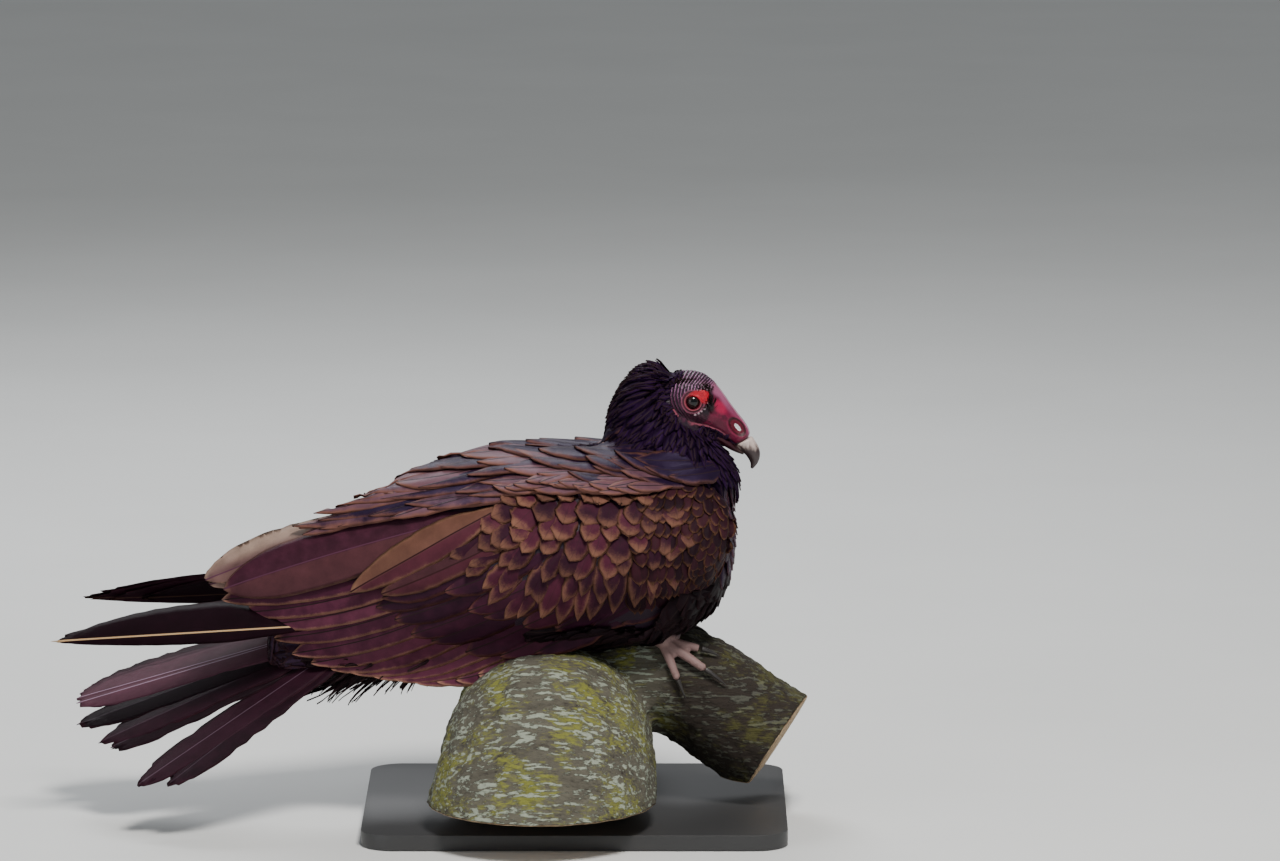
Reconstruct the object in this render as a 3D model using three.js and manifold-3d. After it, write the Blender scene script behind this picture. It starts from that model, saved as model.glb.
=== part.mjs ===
// Adult turkey vulture (Cathartes aura), life size, resting on a cut length of forked bough
// on a display stand.
// Units are millimetres. +X is the way the bird faces, +Y its left and +Z up.
// The origin is the middle of the underside of the stand's base.
//
// The bird is modelled to the outside of its plumage. Head, neck, trunk, wings, tail, legs,
// feet, claws, bill and eyes are separate solids, parted by thin gaps.

import * as THREE from 'three';
import { LoftGeometry } from 'three/addons/geometries/LoftGeometry.js';
import { mergeVertices } from 'three/addons/utils/BufferGeometryUtils.js';
import Module from 'manifold-3d';

const wasm = await Module();
wasm.setup();

// ---- Driving dimensions -------------------------------------------------------------------------

const GAP = 0.4; // between neighbouring solids
const { degToRad, lerp } = THREE.MathUtils;

// Wing: wrist to the tip of the tertials, with the longest primary reaching further back
const WRIST_X = 118;
const TERTIAL_TIP_X = -296;
const WING_THICKNESS = 11;
const PRIMARY_TIP_X = -403;
const PRIMARY_WIDTH = 38;
const PRIMARY_COUNT = 4;
const FAR_WING_LIFT = 7.5; // the left wing's tip lies higher than the right one's
const NEAR_WING_DROP = 5;
const FAR_WING_FORWARD = 17; // the left primaries reach less far back
const PRIMARY_LENGTH = 205; // of the topmost primary, from its root
const PRIMARY_SHORTENING = 45; // the lowest is this much shorter
const PRIMARY_ROLL = 52; // degrees its upper face turns outward
const PRIMARY_TOE_IN = 3.5; // degrees toward the tail
const PRIMARY_SLOPE = { right: 2.9, left: 1.7, each: 0.5 }; // degrees up from level toward the tip

// Tail: twelve rectrices from one root, pitched down and rolled to the right. The left half is
// nearly closed and the right half is fanned in pairs.
const TAIL_ROOT = new THREE.Vector3(-150, 0, 239);
const TAIL_LENGTH = 258;
const TAIL_PITCH = 22;
const TAIL_ROLL = 25;
// Each tail feather from the bird's left to its right: turn in degrees from straight back, and
// how much shorter it is than the middle pair
const RECTRICES = [
  [-16, 42],
  [-15, 26],
  [-14, 14],
  [-13, 6],
  [-12, 2],
  [-10.5, 0],
  [-9, 0],
  [-3, 2],
  [4.5, 16],
  [7.5, 21],
  [22.5, 20],
  [28, 36],
];
const RECTRIX_WIDTH = 40;
const FEATHER_THICKNESS = 1.5;

// Head
const EYE_CENTRE = new THREE.Vector3(92, 13.2, 408.6);
const EYE_RADIUS = 6;
const NOSTRIL = new THREE.Vector3(126.8, 0, 386.4);
const NOSTRIL_RADIUS = 2.3;
const HEAD_TILT = -38; // the bill points down and forward

// Legs and feet
const FEET = {
  // where each foot's middle stands, from above, and where its shank leaves the belly
  right: { x: 68, y: -34, turn: -42, thigh: [[38, -40, 262], [54, -40, 238]] },
  left: { x: 62, y: 52, turn: 28, thigh: [[30, 44, 262], [44, 47, 242]] },
};
const TOES = [
  // turn from straight ahead, length, radius at the root
  { name: 'inner', turn: 30, length: 34, radius: 4.4 },
  { name: 'middle', turn: 0, length: 48, radius: 4.7 },
  { name: 'outer', turn: -30, length: 36, radius: 4.3 },
  { name: 'hind', turn: 180, length: 20, radius: 4.2 },
];
const CLAW_LENGTH = 13;

// Perch: centre and radius along the main bough, from back to front, and along its fork.
// Both are sawn level below.
const BOUGH = [
  { at: [-15, 150, 148], radius: 64 },
  { at: [-18, 80, 146], radius: 71 },
  { at: [-20, 20, 142], radius: 77 },
  { at: [-20, -30, 140], radius: 82 },
  { at: [-22, -74, 124], radius: 87 },
  { at: [-26, -106, 90], radius: 91 },
  { at: [-28, -118, 50], radius: 93 },
];
const FORK = [
  { at: [-14, 20, 168], radius: 50 },
  { at: [40, 16, 186], radius: 47 },
  { at: [72, 12, 185], radius: 46 },
  { at: [100, 8, 172], radius: 46 },
  { at: [136, 2, 148], radius: 46 },
  { at: [158, -2, 134], radius: 46 },
];
const PERCH_CUT_Z = 108;

// Stand. Heights in this file are counted from a datum under the floor, so that they suit the bird.
const FLOOR_Z = 78;
const BASE_SIZE = { x: 330, y: 280, z: 12, corner: 26 };
const ROD_RADIUS = 8;
const RODS = { front: [-22, -88], back: [-16, 92] };

// ---- Materials ----------------------------------------------------------------------------------

const material = (color, roughness) => new THREE.MeshStandardMaterial({ color, roughness, metalness: 0 });
const plumage = material(0x3a2428, 0.6);
const wingPlumage = material(0x4a2f30, 0.55);
const flightFeather = material(0x2c1a20, 0.5);
const bareSkin = material(0x8c2d44, 0.5);
const legSkin = material(0x9a7f78, 0.7);
const horn = material(0xcbb9ae, 0.35);
const clawHorn = material(0x1f1a1a, 0.35);
const eyeball = material(0x1a1012, 0.08);
const bark = material(0x6b5f52, 0.95);
const standPaint = material(0x2b2b2b, 0.5);

// ---- Geometry helpers ---------------------------------------------------------------------------

// A Manifold solid from a closed three.js geometry.
function solid(geometry) {
  const bare = geometry.index ? geometry.toNonIndexed() : geometry.clone();
  bare.deleteAttribute('normal');
  bare.deleteAttribute('uv');
  const merged = mergeVertices(bare, 1e-3);
  const triVerts = new Uint32Array(merged.index.array);
  const vertProperties = merged.attributes.position.array;
  return new wasm.Manifold(new wasm.Mesh({ numProp: 3, vertProperties, triVerts }));
}

const union = (solids) => solids.reduce((whole, next) => whole.add(next));
const without = (body, cutters) => cutters.reduce((left, cutter) => left.subtract(cutter), body);

// The largest connected piece, so that slivers left by a cut are dropped.
function largest(body) {
  const pieces = body.decompose();
  return pieces.reduce((best, next) => (next.volume() > best.volume() ? next : best));
}

function geometryOf(body) {
  const made = body.getMesh();
  const geometry = new THREE.BufferGeometry();
  geometry.setAttribute('position', new THREE.BufferAttribute(made.vertProperties, 3));
  geometry.setIndex(new THREE.BufferAttribute(made.triVerts, 1));
  return geometry;
}

// A capped loft through closed sections, which may run either way round.
function loft(sections) {
  const [first, next] = sections.slice(Math.floor(sections.length / 2) - 1);
  const facing = new THREE.Vector3();
  first.forEach((p, i) => facing.add(new THREE.Vector3().crossVectors(p, first[(i + 1) % first.length])));
  const travel = new THREE.Vector3();
  next.forEach((p, i) => travel.add(p).sub(first[i]));
  const ordered = facing.dot(travel) > 0 ? sections : sections.map((section) => [...section].reverse());
  return solid(new LoftGeometry(ordered, { capStart: true, capEnd: true }));
}

// A function of t that runs smoothly through values at the knots.
function smooth(knots, values) {
  const curve = new THREE.CubicInterpolant(knots, values, 1);
  return (t) => curve.evaluate(t)[0];
}

// Smooth functions of 0..1 for each number in a list of stations.
function stationCurves(stations) {
  const knots = stations.map((_, i) => i / (stations.length - 1));
  return stations[0].map((_, k) => smooth(knots, stations.map((s) => s[k])));
}

// A point on a superellipse of half-widths 1, at an angle.
function superellipse(angle, power) {
  const c = Math.cos(angle);
  const s = Math.sin(angle);
  return [Math.sign(c) * Math.abs(c) ** (2 / power), Math.sign(s) * Math.abs(s) ** (2 / power)];
}

// A closed loft along a spine in the XZ plane. Each station is [x, z, tilt, half height, half
// width]: the section stands across the direction that tilt gives, in degrees above +X.
function spineLoft(stations, { count = 16, sides = 20, power = 2, grow = 0, y = 0 }) {
  const [x, z, tilt, high, wide] = stationCurves(stations);
  const sections = [];
  for (let i = 0; i <= count; i++) {
    const t = i / count;
    const turn = degToRad(tilt(t));
    const up = Math.max(high(t), 0.4) + grow;
    const out = Math.max(wide(t), 0.4) + grow;
    const section = [];
    for (let j = 0; j < sides; j++) {
      const [a, b] = superellipse((j / sides) * 2 * Math.PI, power);
      const ahead = x(t) - Math.sin(turn) * up * b;
      const height = z(t) + Math.cos(turn) * up * b;
      section.push(new THREE.Vector3(ahead, y + out * a, height));
    }
    sections.push(section);
  }
  return loft(sections);
}

// A round tube of changing radius along points in space. The ends are flat.
function taperedTube(points, { count = 10, sides = 16, grow = 0 }) {
  const curve = new THREE.CatmullRomCurve3(points.map((p) => new THREE.Vector3(...p.at)));
  const knots = points.map((_, i) => i / (points.length - 1));
  const radius = smooth(knots, points.map((p) => p.radius));
  const frames = curve.computeFrenetFrames(count);
  const sections = [];
  for (let i = 0; i <= count; i++) {
    const t = i / count;
    const centre = curve.getPoint(t);
    const section = [];
    for (let j = 0; j < sides; j++) {
      const angle = (j / sides) * 2 * Math.PI;
      const spoke = frames.normals[i].clone().multiplyScalar(Math.cos(angle));
      spoke.addScaledVector(frames.binormals[i], Math.sin(angle));
      section.push(centre.clone().addScaledVector(spoke, radius(t) + grow));
    }
    sections.push(section);
  }
  return loft(sections);
}

// A flat feather blade along -X from the origin, lying in the XY plane.
function blade(length, width, tipSharpness, thickness) {
  const half = width / 2;
  const tip = half * tipSharpness;
  const outline = new THREE.Shape();
  outline.moveTo(0, -half * 0.3);
  outline.bezierCurveTo(-length * 0.2, -half * 0.9, -length * 0.4, -half, -length + tip, -half * 0.92);
  outline.quadraticCurveTo(-length, -half * 0.6, -length, 0);
  outline.quadraticCurveTo(-length, half * 0.6, -length + tip, half * 0.92);
  outline.bezierCurveTo(-length * 0.4, half, -length * 0.2, half * 0.9, 0, half * 0.3);
  const settings = { depth: thickness, bevelEnabled: false, curveSegments: 2 };
  const extruded = new THREE.ExtrudeGeometry(outline, settings);
  return extruded.translate(0, 0, -thickness / 2);
}

// ---- Perch and stand ----------------------------------------------------------------------------

function perchSolid(grow = 0) {
  const bough = taperedTube(BOUGH, { count: 11, sides: 22, grow });
  const fork = taperedTube(FORK, { count: 7, sides: 20, grow });
  const below = new THREE.BoxGeometry(600, 600, 200).translate(0, 0, PERCH_CUT_Z - grow - 100);
  return union([bough, fork]).subtract(solid(below));
}

// The perch's surface is felt with spheres strung along its boughs.
const perchSpheres = [BOUGH, FORK].flatMap((bough) => {
  const curve = new THREE.CatmullRomCurve3(bough.map((p) => new THREE.Vector3(...p.at)));
  const knots = bough.map((_, i) => i / (bough.length - 1));
  const radius = smooth(knots, bough.map((p) => p.radius));
  const steps = 120;
  return Array.from({ length: steps + 1 }, (_, i) => {
    const t = i / steps;
    return { centre: curve.getPoint(t), radius: radius(t) };
  });
});

// The point of the perch's surface nearest to a place, and the direction straight out of it.
function onPerch(place) {
  const roomTo = (sphere) => place.distanceTo(sphere.centre) - sphere.radius;
  const sphere = perchSpheres.reduce((best, next) => (roomTo(next) < roomTo(best) ? next : best));
  const normal = place.clone().sub(sphere.centre).normalize();
  return { point: sphere.centre.clone().addScaledVector(normal, sphere.radius), normal };
}

// Steps over the perch's surface from a start, in a heading that bends with the surface.
function walk(start, heading, length, steps) {
  let here = onPerch(start);
  const path = [here];
  const along = heading.clone();
  for (let i = 0; i < steps; i++) {
    along.addScaledVector(here.normal, -along.dot(here.normal)).normalize();
    here = onPerch(here.point.clone().addScaledVector(along, length / steps));
    path.push(here);
  }
  return path;
}

function standBase() {
  const { x, y, z, corner } = BASE_SIZE;
  const outline = new THREE.Shape();
  outline.moveTo(-x / 2 + corner, -y / 2);
  outline.lineTo(x / 2 - corner, -y / 2);
  outline.absarc(x / 2 - corner, -y / 2 + corner, corner, -Math.PI / 2, 0);
  outline.absarc(x / 2 - corner, y / 2 - corner, corner, 0, Math.PI / 2);
  outline.absarc(-x / 2 + corner, y / 2 - corner, corner, Math.PI / 2, Math.PI);
  outline.absarc(-x / 2 + corner, -y / 2 + corner, corner, Math.PI, 1.5 * Math.PI);
  const plate = new THREE.ExtrudeGeometry(outline, { depth: z, bevelEnabled: false, curveSegments: 6 });
  return plate.translate(0, 0, FLOOR_Z);
}

// A short rod from the base up to the perch's sawn underside.
function standRod([x, y]) {
  const bottom = FLOOR_Z + BASE_SIZE.z + GAP;
  const top = PERCH_CUT_Z - GAP;
  const rod = new THREE.CylinderGeometry(ROD_RADIUS, ROD_RADIUS, top - bottom, 24).rotateX(Math.PI / 2);
  return rod.translate(x, y, (top + bottom) / 2);
}

// ---- Trunk, neck and head -----------------------------------------------------------------------

// Trunk, breast to vent: [x, top, bottom, half width]
const TRUNK = [
  [125, 304, 286, 10],
  [119, 334, 258, 36],
  [103, 354, 234, 59],
  [72, 366, 219, 75],
  [30, 371, 212, 84],
  [-20, 371, 209, 86],
  [-70, 368, 206, 80],
  [-112, 359, 199, 69],
  [-152, 336, 188, 53],
  [-190, 296, 181, 38],
  [-222, 250, 184, 23],
  [-240, 224, 196, 8],
];

function trunkSolid(grow = 0) {
  const stations = TRUNK.map(([x, top, bottom, wide]) => {
    return [x, (top + bottom) / 2, 0, (top - bottom) / 2, wide];
  });
  return spineLoft(stations, { count: 13, sides: 16, power: 2.3, grow });
}

// Neck with its ruff, drawn down between the shoulders: [height, back, front, half width]
const NECK = [
  [306, 30, 118, 40],
  [336, 20, 128, 49],
  [352, 19, 127, 47],
  [368, 21, 118, 41],
  [380, 23, 107, 35],
  [390, 25, 92, 30],
  [402, 29, 76, 26],
  [416, 36, 73, 22],
  [429, 46, 70, 15],
  [437, 56, 67, 5],
];

function neckSolid(grow = 0) {
  const stations = NECK.map(([z, back, front, wide]) => {
    return [(back + front) / 2, z, 90, (front - back) / 2, wide];
  });
  return spineLoft(stations, { count: 11, sides: 14, power: 2, grow });
}

// Bare head, back of the skull to the cere: [x, z, tilt, half height, half width]
const HEAD = [
  [68, 414, -12, 6, 6],
  [74, 413, -16, 17, 14],
  [81, 411.8, -25, 21.5, 18],
  [89.7, 409.5, -34, 22.3, 19.4],
  [99.8, 403.6, -38, 19.4, 16.8],
  [110.8, 395.7, -38, 14.8, 12.2],
  [120.9, 387, -38, 11.8, 9],
  [127.4, 381.4, -43, 10, 7.5],
  [131.1, 375.9, -62, 7.5, 6.9],
];

function headSolid(grow = 0) {
  const skull = spineLoft(HEAD, { count: 11, sides: 16, power: 2.1, grow });
  if (grow > 0) return skull;
  const sockets = [-1, 1].map((side) => {
    const socket = new THREE.SphereGeometry(EYE_RADIUS + 2 * GAP, 12, 8);
    return solid(socket.translate(EYE_CENTRE.x, side * EYE_CENTRE.y, EYE_CENTRE.z));
  });
  const slot = new THREE.CylinderGeometry(NOSTRIL_RADIUS, NOSTRIL_RADIUS, 40, 10).scale(1.6, 1, 1);
  slot.rotateY(degToRad(-HEAD_TILT)).translate(NOSTRIL.x, NOSTRIL.y, NOSTRIL.z);
  return without(skull, [...sockets, solid(slot)]);
}

// Ivory hook of the upper bill, edge of the cere to tip
const UPPER_BILL = [
  [131.6, 375.3, -63, 7.3, 6.8],
  [135, 371, -67, 6.9, 6.1],
  [138.4, 366.8, -70, 5.7, 5.1],
  [140.1, 361.9, -76, 4.3, 3.8],
  [139.8, 357.6, -94, 2.5, 2.2],
  [138, 353.6, -112, 0.8, 0.8],
];

const LOWER_BILL = [
  [104, 382.5, -37, 3.2, 8],
  [115, 376, -35, 3.6, 7],
  [124.5, 370, -32, 3.2, 5.6],
  [132, 365.6, -28, 1.5, 3.6],
];

const upperBillSolid = (grow = 0) => spineLoft(UPPER_BILL, { count: 9, sides: 12, grow });
const lowerBillSolid = () => spineLoft(LOWER_BILL, { count: 5, sides: 8 });

function eye(side) {
  const ball = new THREE.SphereGeometry(EYE_RADIUS, 16, 10);
  return ball.translate(EYE_CENTRE.x, side * EYE_CENTRE.y, EYE_CENTRE.z);
}

// ---- Wings --------------------------------------------------------------------------------------

// Folded wing, wrist to tertial tips: [x, top edge, bottom edge, half width of the bird there]
const WING = [
  [WRIST_X + 4, 322, 304, 50],
  [WRIST_X - 4, 346, 275, 66],
  [92, 352, 258, 80],
  [44, 356, 243, 91],
  [0, 358, 232, 95],
  [-50, 359, 223, 93],
  [-100, 357, 214, 84],
  [-150, 345, 200, 71],
  [-200, 329, 204, 55],
  [-240, 310, 225, 42],
  [-270, 286, 248, 33],
  [TERTIAL_TIP_X, 267, 262, 27],
];
// Where down its depth the wing bulges most, and how round it is
const WING_ARCH = { middle: 0.52, reach: 0.6 };

// A section across X with its outline moved outward.
function widened(section, grow) {
  return section.map((p, i) => {
    const before = section[(i + section.length - 1) % section.length];
    const after = section[(i + 1) % section.length];
    const inTurn = new THREE.Vector2(p.y - before.y, p.z - before.z).normalize();
    const outTurn = new THREE.Vector2(after.y - p.y, after.z - p.z).normalize();
    const along = inTurn.add(outTurn).normalize();
    return new THREE.Vector3(p.x, p.y - along.y * grow, p.z + along.x * grow);
  });
}

// A folded wing is a thin shell over the flank. side is 1 for the left wing and -1 for the right.
function wingSolid(side, grow = 0) {
  const [x, top, bottom, wide] = stationCurves(WING);
  const count = 14;
  const arcPoints = 7;
  const sections = [];
  for (let i = 0; i <= count; i++) {
    const t = i / count;
    const outer = [];
    const inner = [];
    const end = Math.min(1, 6 * t, 6 * (1 - t) + 0.15);
    const thickness = lerp(WING_THICKNESS, 4, t) * Math.max(end, 0.2);
    const bulge = Math.min(wide(t), 0.9 * (top(t) - bottom(t)));
    for (let j = 0; j < arcPoints; j++) {
      const down = j / (arcPoints - 1);
      const arch = Math.sqrt(1 - ((down - WING_ARCH.middle) / WING_ARCH.reach) ** 2);
      const y = wide(t) - bulge * (1 - arch);
      const z = lerp(top(t), bottom(t), down);
      outer.push(new THREE.Vector3(x(t), side * y, z));
      const edge = Math.min(1, 0.35 + 4 * down, 0.35 + 4 * (1 - down));
      inner.push(new THREE.Vector3(x(t), side * (y - thickness * edge), z));
    }
    sections.push(widened([...outer, ...inner.reverse()], side * grow));
  }
  sections[0].forEach((p) => (p.x += grow));
  sections[count].forEach((p) => (p.x -= grow));
  return loft(sections);
}

// The primaries reach back past the tertials as a bundle of narrow blades.
function primariesSolid(side) {
  const left = side > 0;
  const lift = left ? FAR_WING_LIFT : -NEAR_WING_DROP;
  const forward = left ? FAR_WING_FORWARD : 0;
  const slope = left ? PRIMARY_SLOPE.left : PRIMARY_SLOPE.right;
  const rootX = PRIMARY_TIP_X + PRIMARY_LENGTH + forward;
  const blades = [];
  for (let i = 0; i < PRIMARY_COUNT; i++) {
    const share = i / (PRIMARY_COUNT - 1);
    const length = PRIMARY_LENGTH - PRIMARY_SHORTENING * share ** 2;
    const feather = blade(length, PRIMARY_WIDTH - 3 * share, 2.2, FEATHER_THICKNESS);
    feather.rotateX(-side * degToRad(PRIMARY_ROLL));
    feather.rotateZ(-side * degToRad(PRIMARY_TOE_IN));
    feather.rotateY(-degToRad(slope + PRIMARY_SLOPE.each * i));
    feather.translate(rootX, side * (37 - 1.3 * i), 240 + lift + 1.1 * i);
    blades.push(solid(feather));
  }
  return union(blades);
}

// ---- Tail ---------------------------------------------------------------------------------------

function tailSolid() {
  const feathers = [];
  RECTRICES.forEach(([turn, shortening], i) => {
    const fromMiddle = Math.abs((2 * i) / (RECTRICES.length - 1) - 1);
    const feather = blade(TAIL_LENGTH - shortening, RECTRIX_WIDTH, 0.9, FEATHER_THICKNESS);
    feather.rotateZ(degToRad(turn));
    feather.translate(0, 0, -5 * fromMiddle);
    feathers.push(solid(feather));
  });
  const coverts = new THREE.SphereGeometry(1, 14, 8).scale(88, 30, 13);
  coverts.rotateZ(degToRad(4)).translate(-62, -9, -3);
  const fan = geometryOf(union([...feathers, solid(coverts)]));
  fan.rotateX(degToRad(TAIL_ROLL)).rotateY(degToRad(-TAIL_PITCH));
  return solid(fan.translate(TAIL_ROOT.x, TAIL_ROOT.y, TAIL_ROOT.z));
}

// ---- Legs, feet and claws -----------------------------------------------------------------------

const sideOf = { left: 1, right: -1 };

function footCentre(name) {
  const { x, y } = FEET[name];
  const stand = onPerch(new THREE.Vector3(x, y, 230));
  return { ...stand, centre: stand.point.clone().addScaledVector(stand.normal, 7) };
}

// Feathered thigh narrowing to the shank above the foot.
function legSolid(name) {
  const { centre } = footCentre(name);
  const [hip, knee] = FEET[name].thigh;
  const ankle = [
    lerp(knee[0], centre.x, 0.72),
    lerp(knee[1], centre.y, 0.72),
    lerp(knee[2], centre.z, 0.68),
  ];
  const points = [
    { at: hip, radius: 28 },
    { at: knee, radius: 22 },
    { at: ankle, radius: 12 },
    { at: [centre.x - 2, centre.y, centre.z + 5], radius: 8 },
  ];
  return taperedTube(points, { count: 6, sides: 12 });
}

// A toe's heading on the perch. Toes turned out to a foot's own side come first.
function toeHeading(name, toe) {
  const turn = degToRad(FEET[name].turn - sideOf[name] * toe.turn);
  return new THREE.Vector3(Math.cos(turn), Math.sin(turn), 0);
}

const toeRadius = (toe, share) => toe.radius * lerp(1, 0.72, share);

function toePath(name, toe) {
  const steps = 8;
  const path = walk(footCentre(name).point, toeHeading(name, toe), toe.length + CLAW_LENGTH, steps + 4);
  return { toe: path.slice(0, steps + 1), claw: path.slice(steps) };
}

const above = ({ point, normal }, height) => point.clone().addScaledVector(normal, height).toArray();

function footSolid(name, grow = 0) {
  const { centre } = footCentre(name);
  const palm = solid(new THREE.SphereGeometry(7.6 + grow, 9, 6).translate(centre.x, centre.y, centre.z));
  const toes = TOES.map((toe) => {
    const path = toePath(name, toe).toe.filter((_, i) => i % 2 === 0);
    const points = path.map((step, i) => {
      const radius = toeRadius(toe, i / (path.length - 1));
      return { at: above(step, radius + 0.6), radius };
    });
    return taperedTube(points, { count: 4, sides: 7, grow });
  });
  return union([palm, ...toes]);
}

// A curved claw that carries on from the end of its toe, arches up and comes down on the bark.
function clawSolid(name, toe, grow = 0) {
  const path = toePath(name, toe).claw;
  const points = path.map((step, i) => {
    const share = i / (path.length - 1);
    const radius = toeRadius(toe, 1) * lerp(0.8, 0.12, share);
    return { at: above(step, lerp(toeRadius(toe, 1) + 0.8, radius + 0.6, share ** 2)), radius };
  });
  return taperedTube(points, { count: 4, sides: 6, grow });
}

// ---- Assembly -----------------------------------------------------------------------------------

const group = new THREE.Group();
const onFloor = new THREE.Group();
onFloor.position.z = -FLOOR_Z;
group.add(onFloor);

function place(name, geometry, worn) {
  const mesh = new THREE.Mesh(geometry, worn);
  mesh.name = name;
  onFloor.add(mesh);
}

const placeSolid = (name, body, worn) => place(name, geometryOf(body), worn);

const wingCutters = [wingSolid(1, GAP), wingSolid(-1, GAP)];
const perchCutter = perchSolid(GAP);
const footCutters = [footSolid('left', GAP), footSolid('right', GAP)];
const hindClaws = ['left', 'right'].map((name) => clawSolid(name, TOES[3], GAP));
const trunkCutter = trunkSolid(GAP);
const headCutter = headSolid(GAP);

const trunk = largest(without(trunkSolid(), [...wingCutters, perchCutter, ...footCutters, ...hindClaws]));
const neck = largest(without(neckSolid(), [trunkCutter, headCutter, ...wingCutters, upperBillSolid(GAP)]));
const tail = largest(without(tailSolid(), [trunkCutter, ...wingCutters]));
placeSolid('trunk', trunk, plumage);
placeSolid('neck', neck, plumage);
placeSolid('head', headSolid(), bareSkin);
placeSolid('bill_upper', largest(without(upperBillSolid(), [headCutter])), horn);
const lowerBill = without(lowerBillSolid(), [headCutter, upperBillSolid(GAP), neckSolid(GAP)]);
placeSolid('bill_lower', largest(lowerBill), horn);
placeSolid('tail', tail, flightFeather);

for (const [name, side] of Object.entries(sideOf)) {
  const primaries = largest(without(primariesSolid(side), [...wingCutters, trunkCutter, tail]));
  const foot = largest(footSolid(name).subtract(perchCutter));
  const leg = largest(without(legSolid(name), [trunkCutter, ...wingCutters, perchCutter, ...footCutters]));
  place('eye_' + name, eye(side), eyeball);
  placeSolid('wing_' + name, largest(wingSolid(side).subtract(perchCutter)), wingPlumage);
  placeSolid('primaries_' + name, primaries, flightFeather);
  placeSolid('leg_' + name, leg, plumage);
  placeSolid('foot_' + name, foot, legSkin);
  for (const toe of TOES) {
    const claw = largest(without(clawSolid(name, toe), [perchCutter, ...footCutters]));
    placeSolid('claw_' + name + '_' + toe.name, claw, clawHorn);
  }
}

placeSolid('perch', perchSolid(), bark);
place('stand_base', standBase(), standPaint);
for (const [name, at] of Object.entries(RODS)) place('stand_rod_' + name, standRod(at), standPaint);

export default group;
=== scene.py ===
import math

import bmesh
import bpy
import numpy as np
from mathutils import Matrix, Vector, noise
from mathutils.bvhtree import BVHTree


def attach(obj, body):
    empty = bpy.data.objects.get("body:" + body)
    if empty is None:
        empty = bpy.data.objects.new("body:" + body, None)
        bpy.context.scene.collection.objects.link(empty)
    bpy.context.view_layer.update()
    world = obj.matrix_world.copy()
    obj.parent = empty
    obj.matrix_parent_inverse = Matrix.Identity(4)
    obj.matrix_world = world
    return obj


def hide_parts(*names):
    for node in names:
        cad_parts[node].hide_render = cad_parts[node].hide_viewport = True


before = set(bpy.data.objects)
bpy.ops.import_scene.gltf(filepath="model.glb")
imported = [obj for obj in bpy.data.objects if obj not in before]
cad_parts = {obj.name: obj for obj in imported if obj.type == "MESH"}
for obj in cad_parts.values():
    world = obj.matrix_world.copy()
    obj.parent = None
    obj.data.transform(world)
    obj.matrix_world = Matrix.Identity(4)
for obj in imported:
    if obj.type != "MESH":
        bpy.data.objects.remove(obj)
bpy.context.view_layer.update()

# ---- Measures ----------------------------------------------------------------------------------------------
# The bird is worked in millimetres, in the frame's axes, with heights counted from a datum below the floor.
FLOOR_Z = 78
MM = 0.001
SIDE_SLOPE = 0.158  # the side plane leans: it is seen from nine degrees above
rng = np.random.default_rng(11)


def to_world(points):
    return (np.asarray(points, float) - (0, 0, FLOOR_Z)) * MM


def to_bird(points):
    return np.asarray(points, float) / MM + (0, 0, FLOOR_Z)


def smoothstep(value, low, high):
    t = np.clip((value - low) / (high - low), 0, 1)
    return t * t * (3 - 2 * t)


def unit(vectors):
    return vectors / np.maximum(np.linalg.norm(vectors, axis=-1, keepdims=True), 1e-9)


# ---- Mesh helpers ------------------------------------------------------------------------------------------


def deselect_all():
    for o in bpy.context.selected_objects:
        o.select_set(False)


def focus(obj):
    deselect_all()
    obj.select_set(True)
    bpy.context.view_layer.objects.active = obj


def new_object(name, mesh):
    obj = bpy.data.objects.new(name, mesh)
    bpy.context.scene.collection.objects.link(obj)
    return obj


def welded_copy(name, *nodes):
    """One object with a merged copy of these CAD nodes' meshes."""
    bm = bmesh.new()
    for node in nodes:
        bm.from_mesh(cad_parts[node].data)
    bmesh.ops.remove_doubles(bm, verts=bm.verts, dist=1e-6)
    mesh = bpy.data.meshes.new(name)
    bm.to_mesh(mesh)
    bm.free()
    return new_object(name, mesh)


def apply_modifier(obj, kind, **settings):
    focus(obj)
    modifier = obj.modifiers.new(kind.title(), kind)
    for key, value in settings.items():
        setattr(modifier, key, value)
    bpy.ops.object.modifier_apply(modifier=modifier.name)


def remesh(obj, voxel, smoothing=0, factor=0.5):
    apply_modifier(obj, "REMESH", mode="VOXEL", voxel_size=voxel * MM, adaptivity=0)
    if smoothing:
        apply_modifier(obj, "SMOOTH", factor=factor, iterations=smoothing)


def points_of(obj):
    co = np.empty(len(obj.data.vertices) * 3)
    obj.data.vertices.foreach_get("co", co)
    return to_bird(co.reshape(-1, 3))


def normals_of(obj):
    values = np.empty(len(obj.data.vertices) * 3)
    obj.data.vertices.foreach_get("normal", values)
    return values.reshape(-1, 3)


def move_points(obj, points):
    obj.data.vertices.foreach_set("co", to_world(points).ravel())
    obj.data.update()


def shade_smooth(obj):
    obj.data.polygons.foreach_set("use_smooth", np.ones(len(obj.data.polygons), bool))


def finish_piece(obj, slot, material, *nodes):
    """The piece rides on the only body, takes its finish, and stands for the CAD nodes it replaces."""
    obj.data.materials.clear()
    obj.data.materials.append(material)
    shade_smooth(obj)
    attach(obj, "root")
    if nodes:
        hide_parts(*nodes)
    return obj


# ---- Shader helpers ----------------------------------------------------------------------------------------


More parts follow.
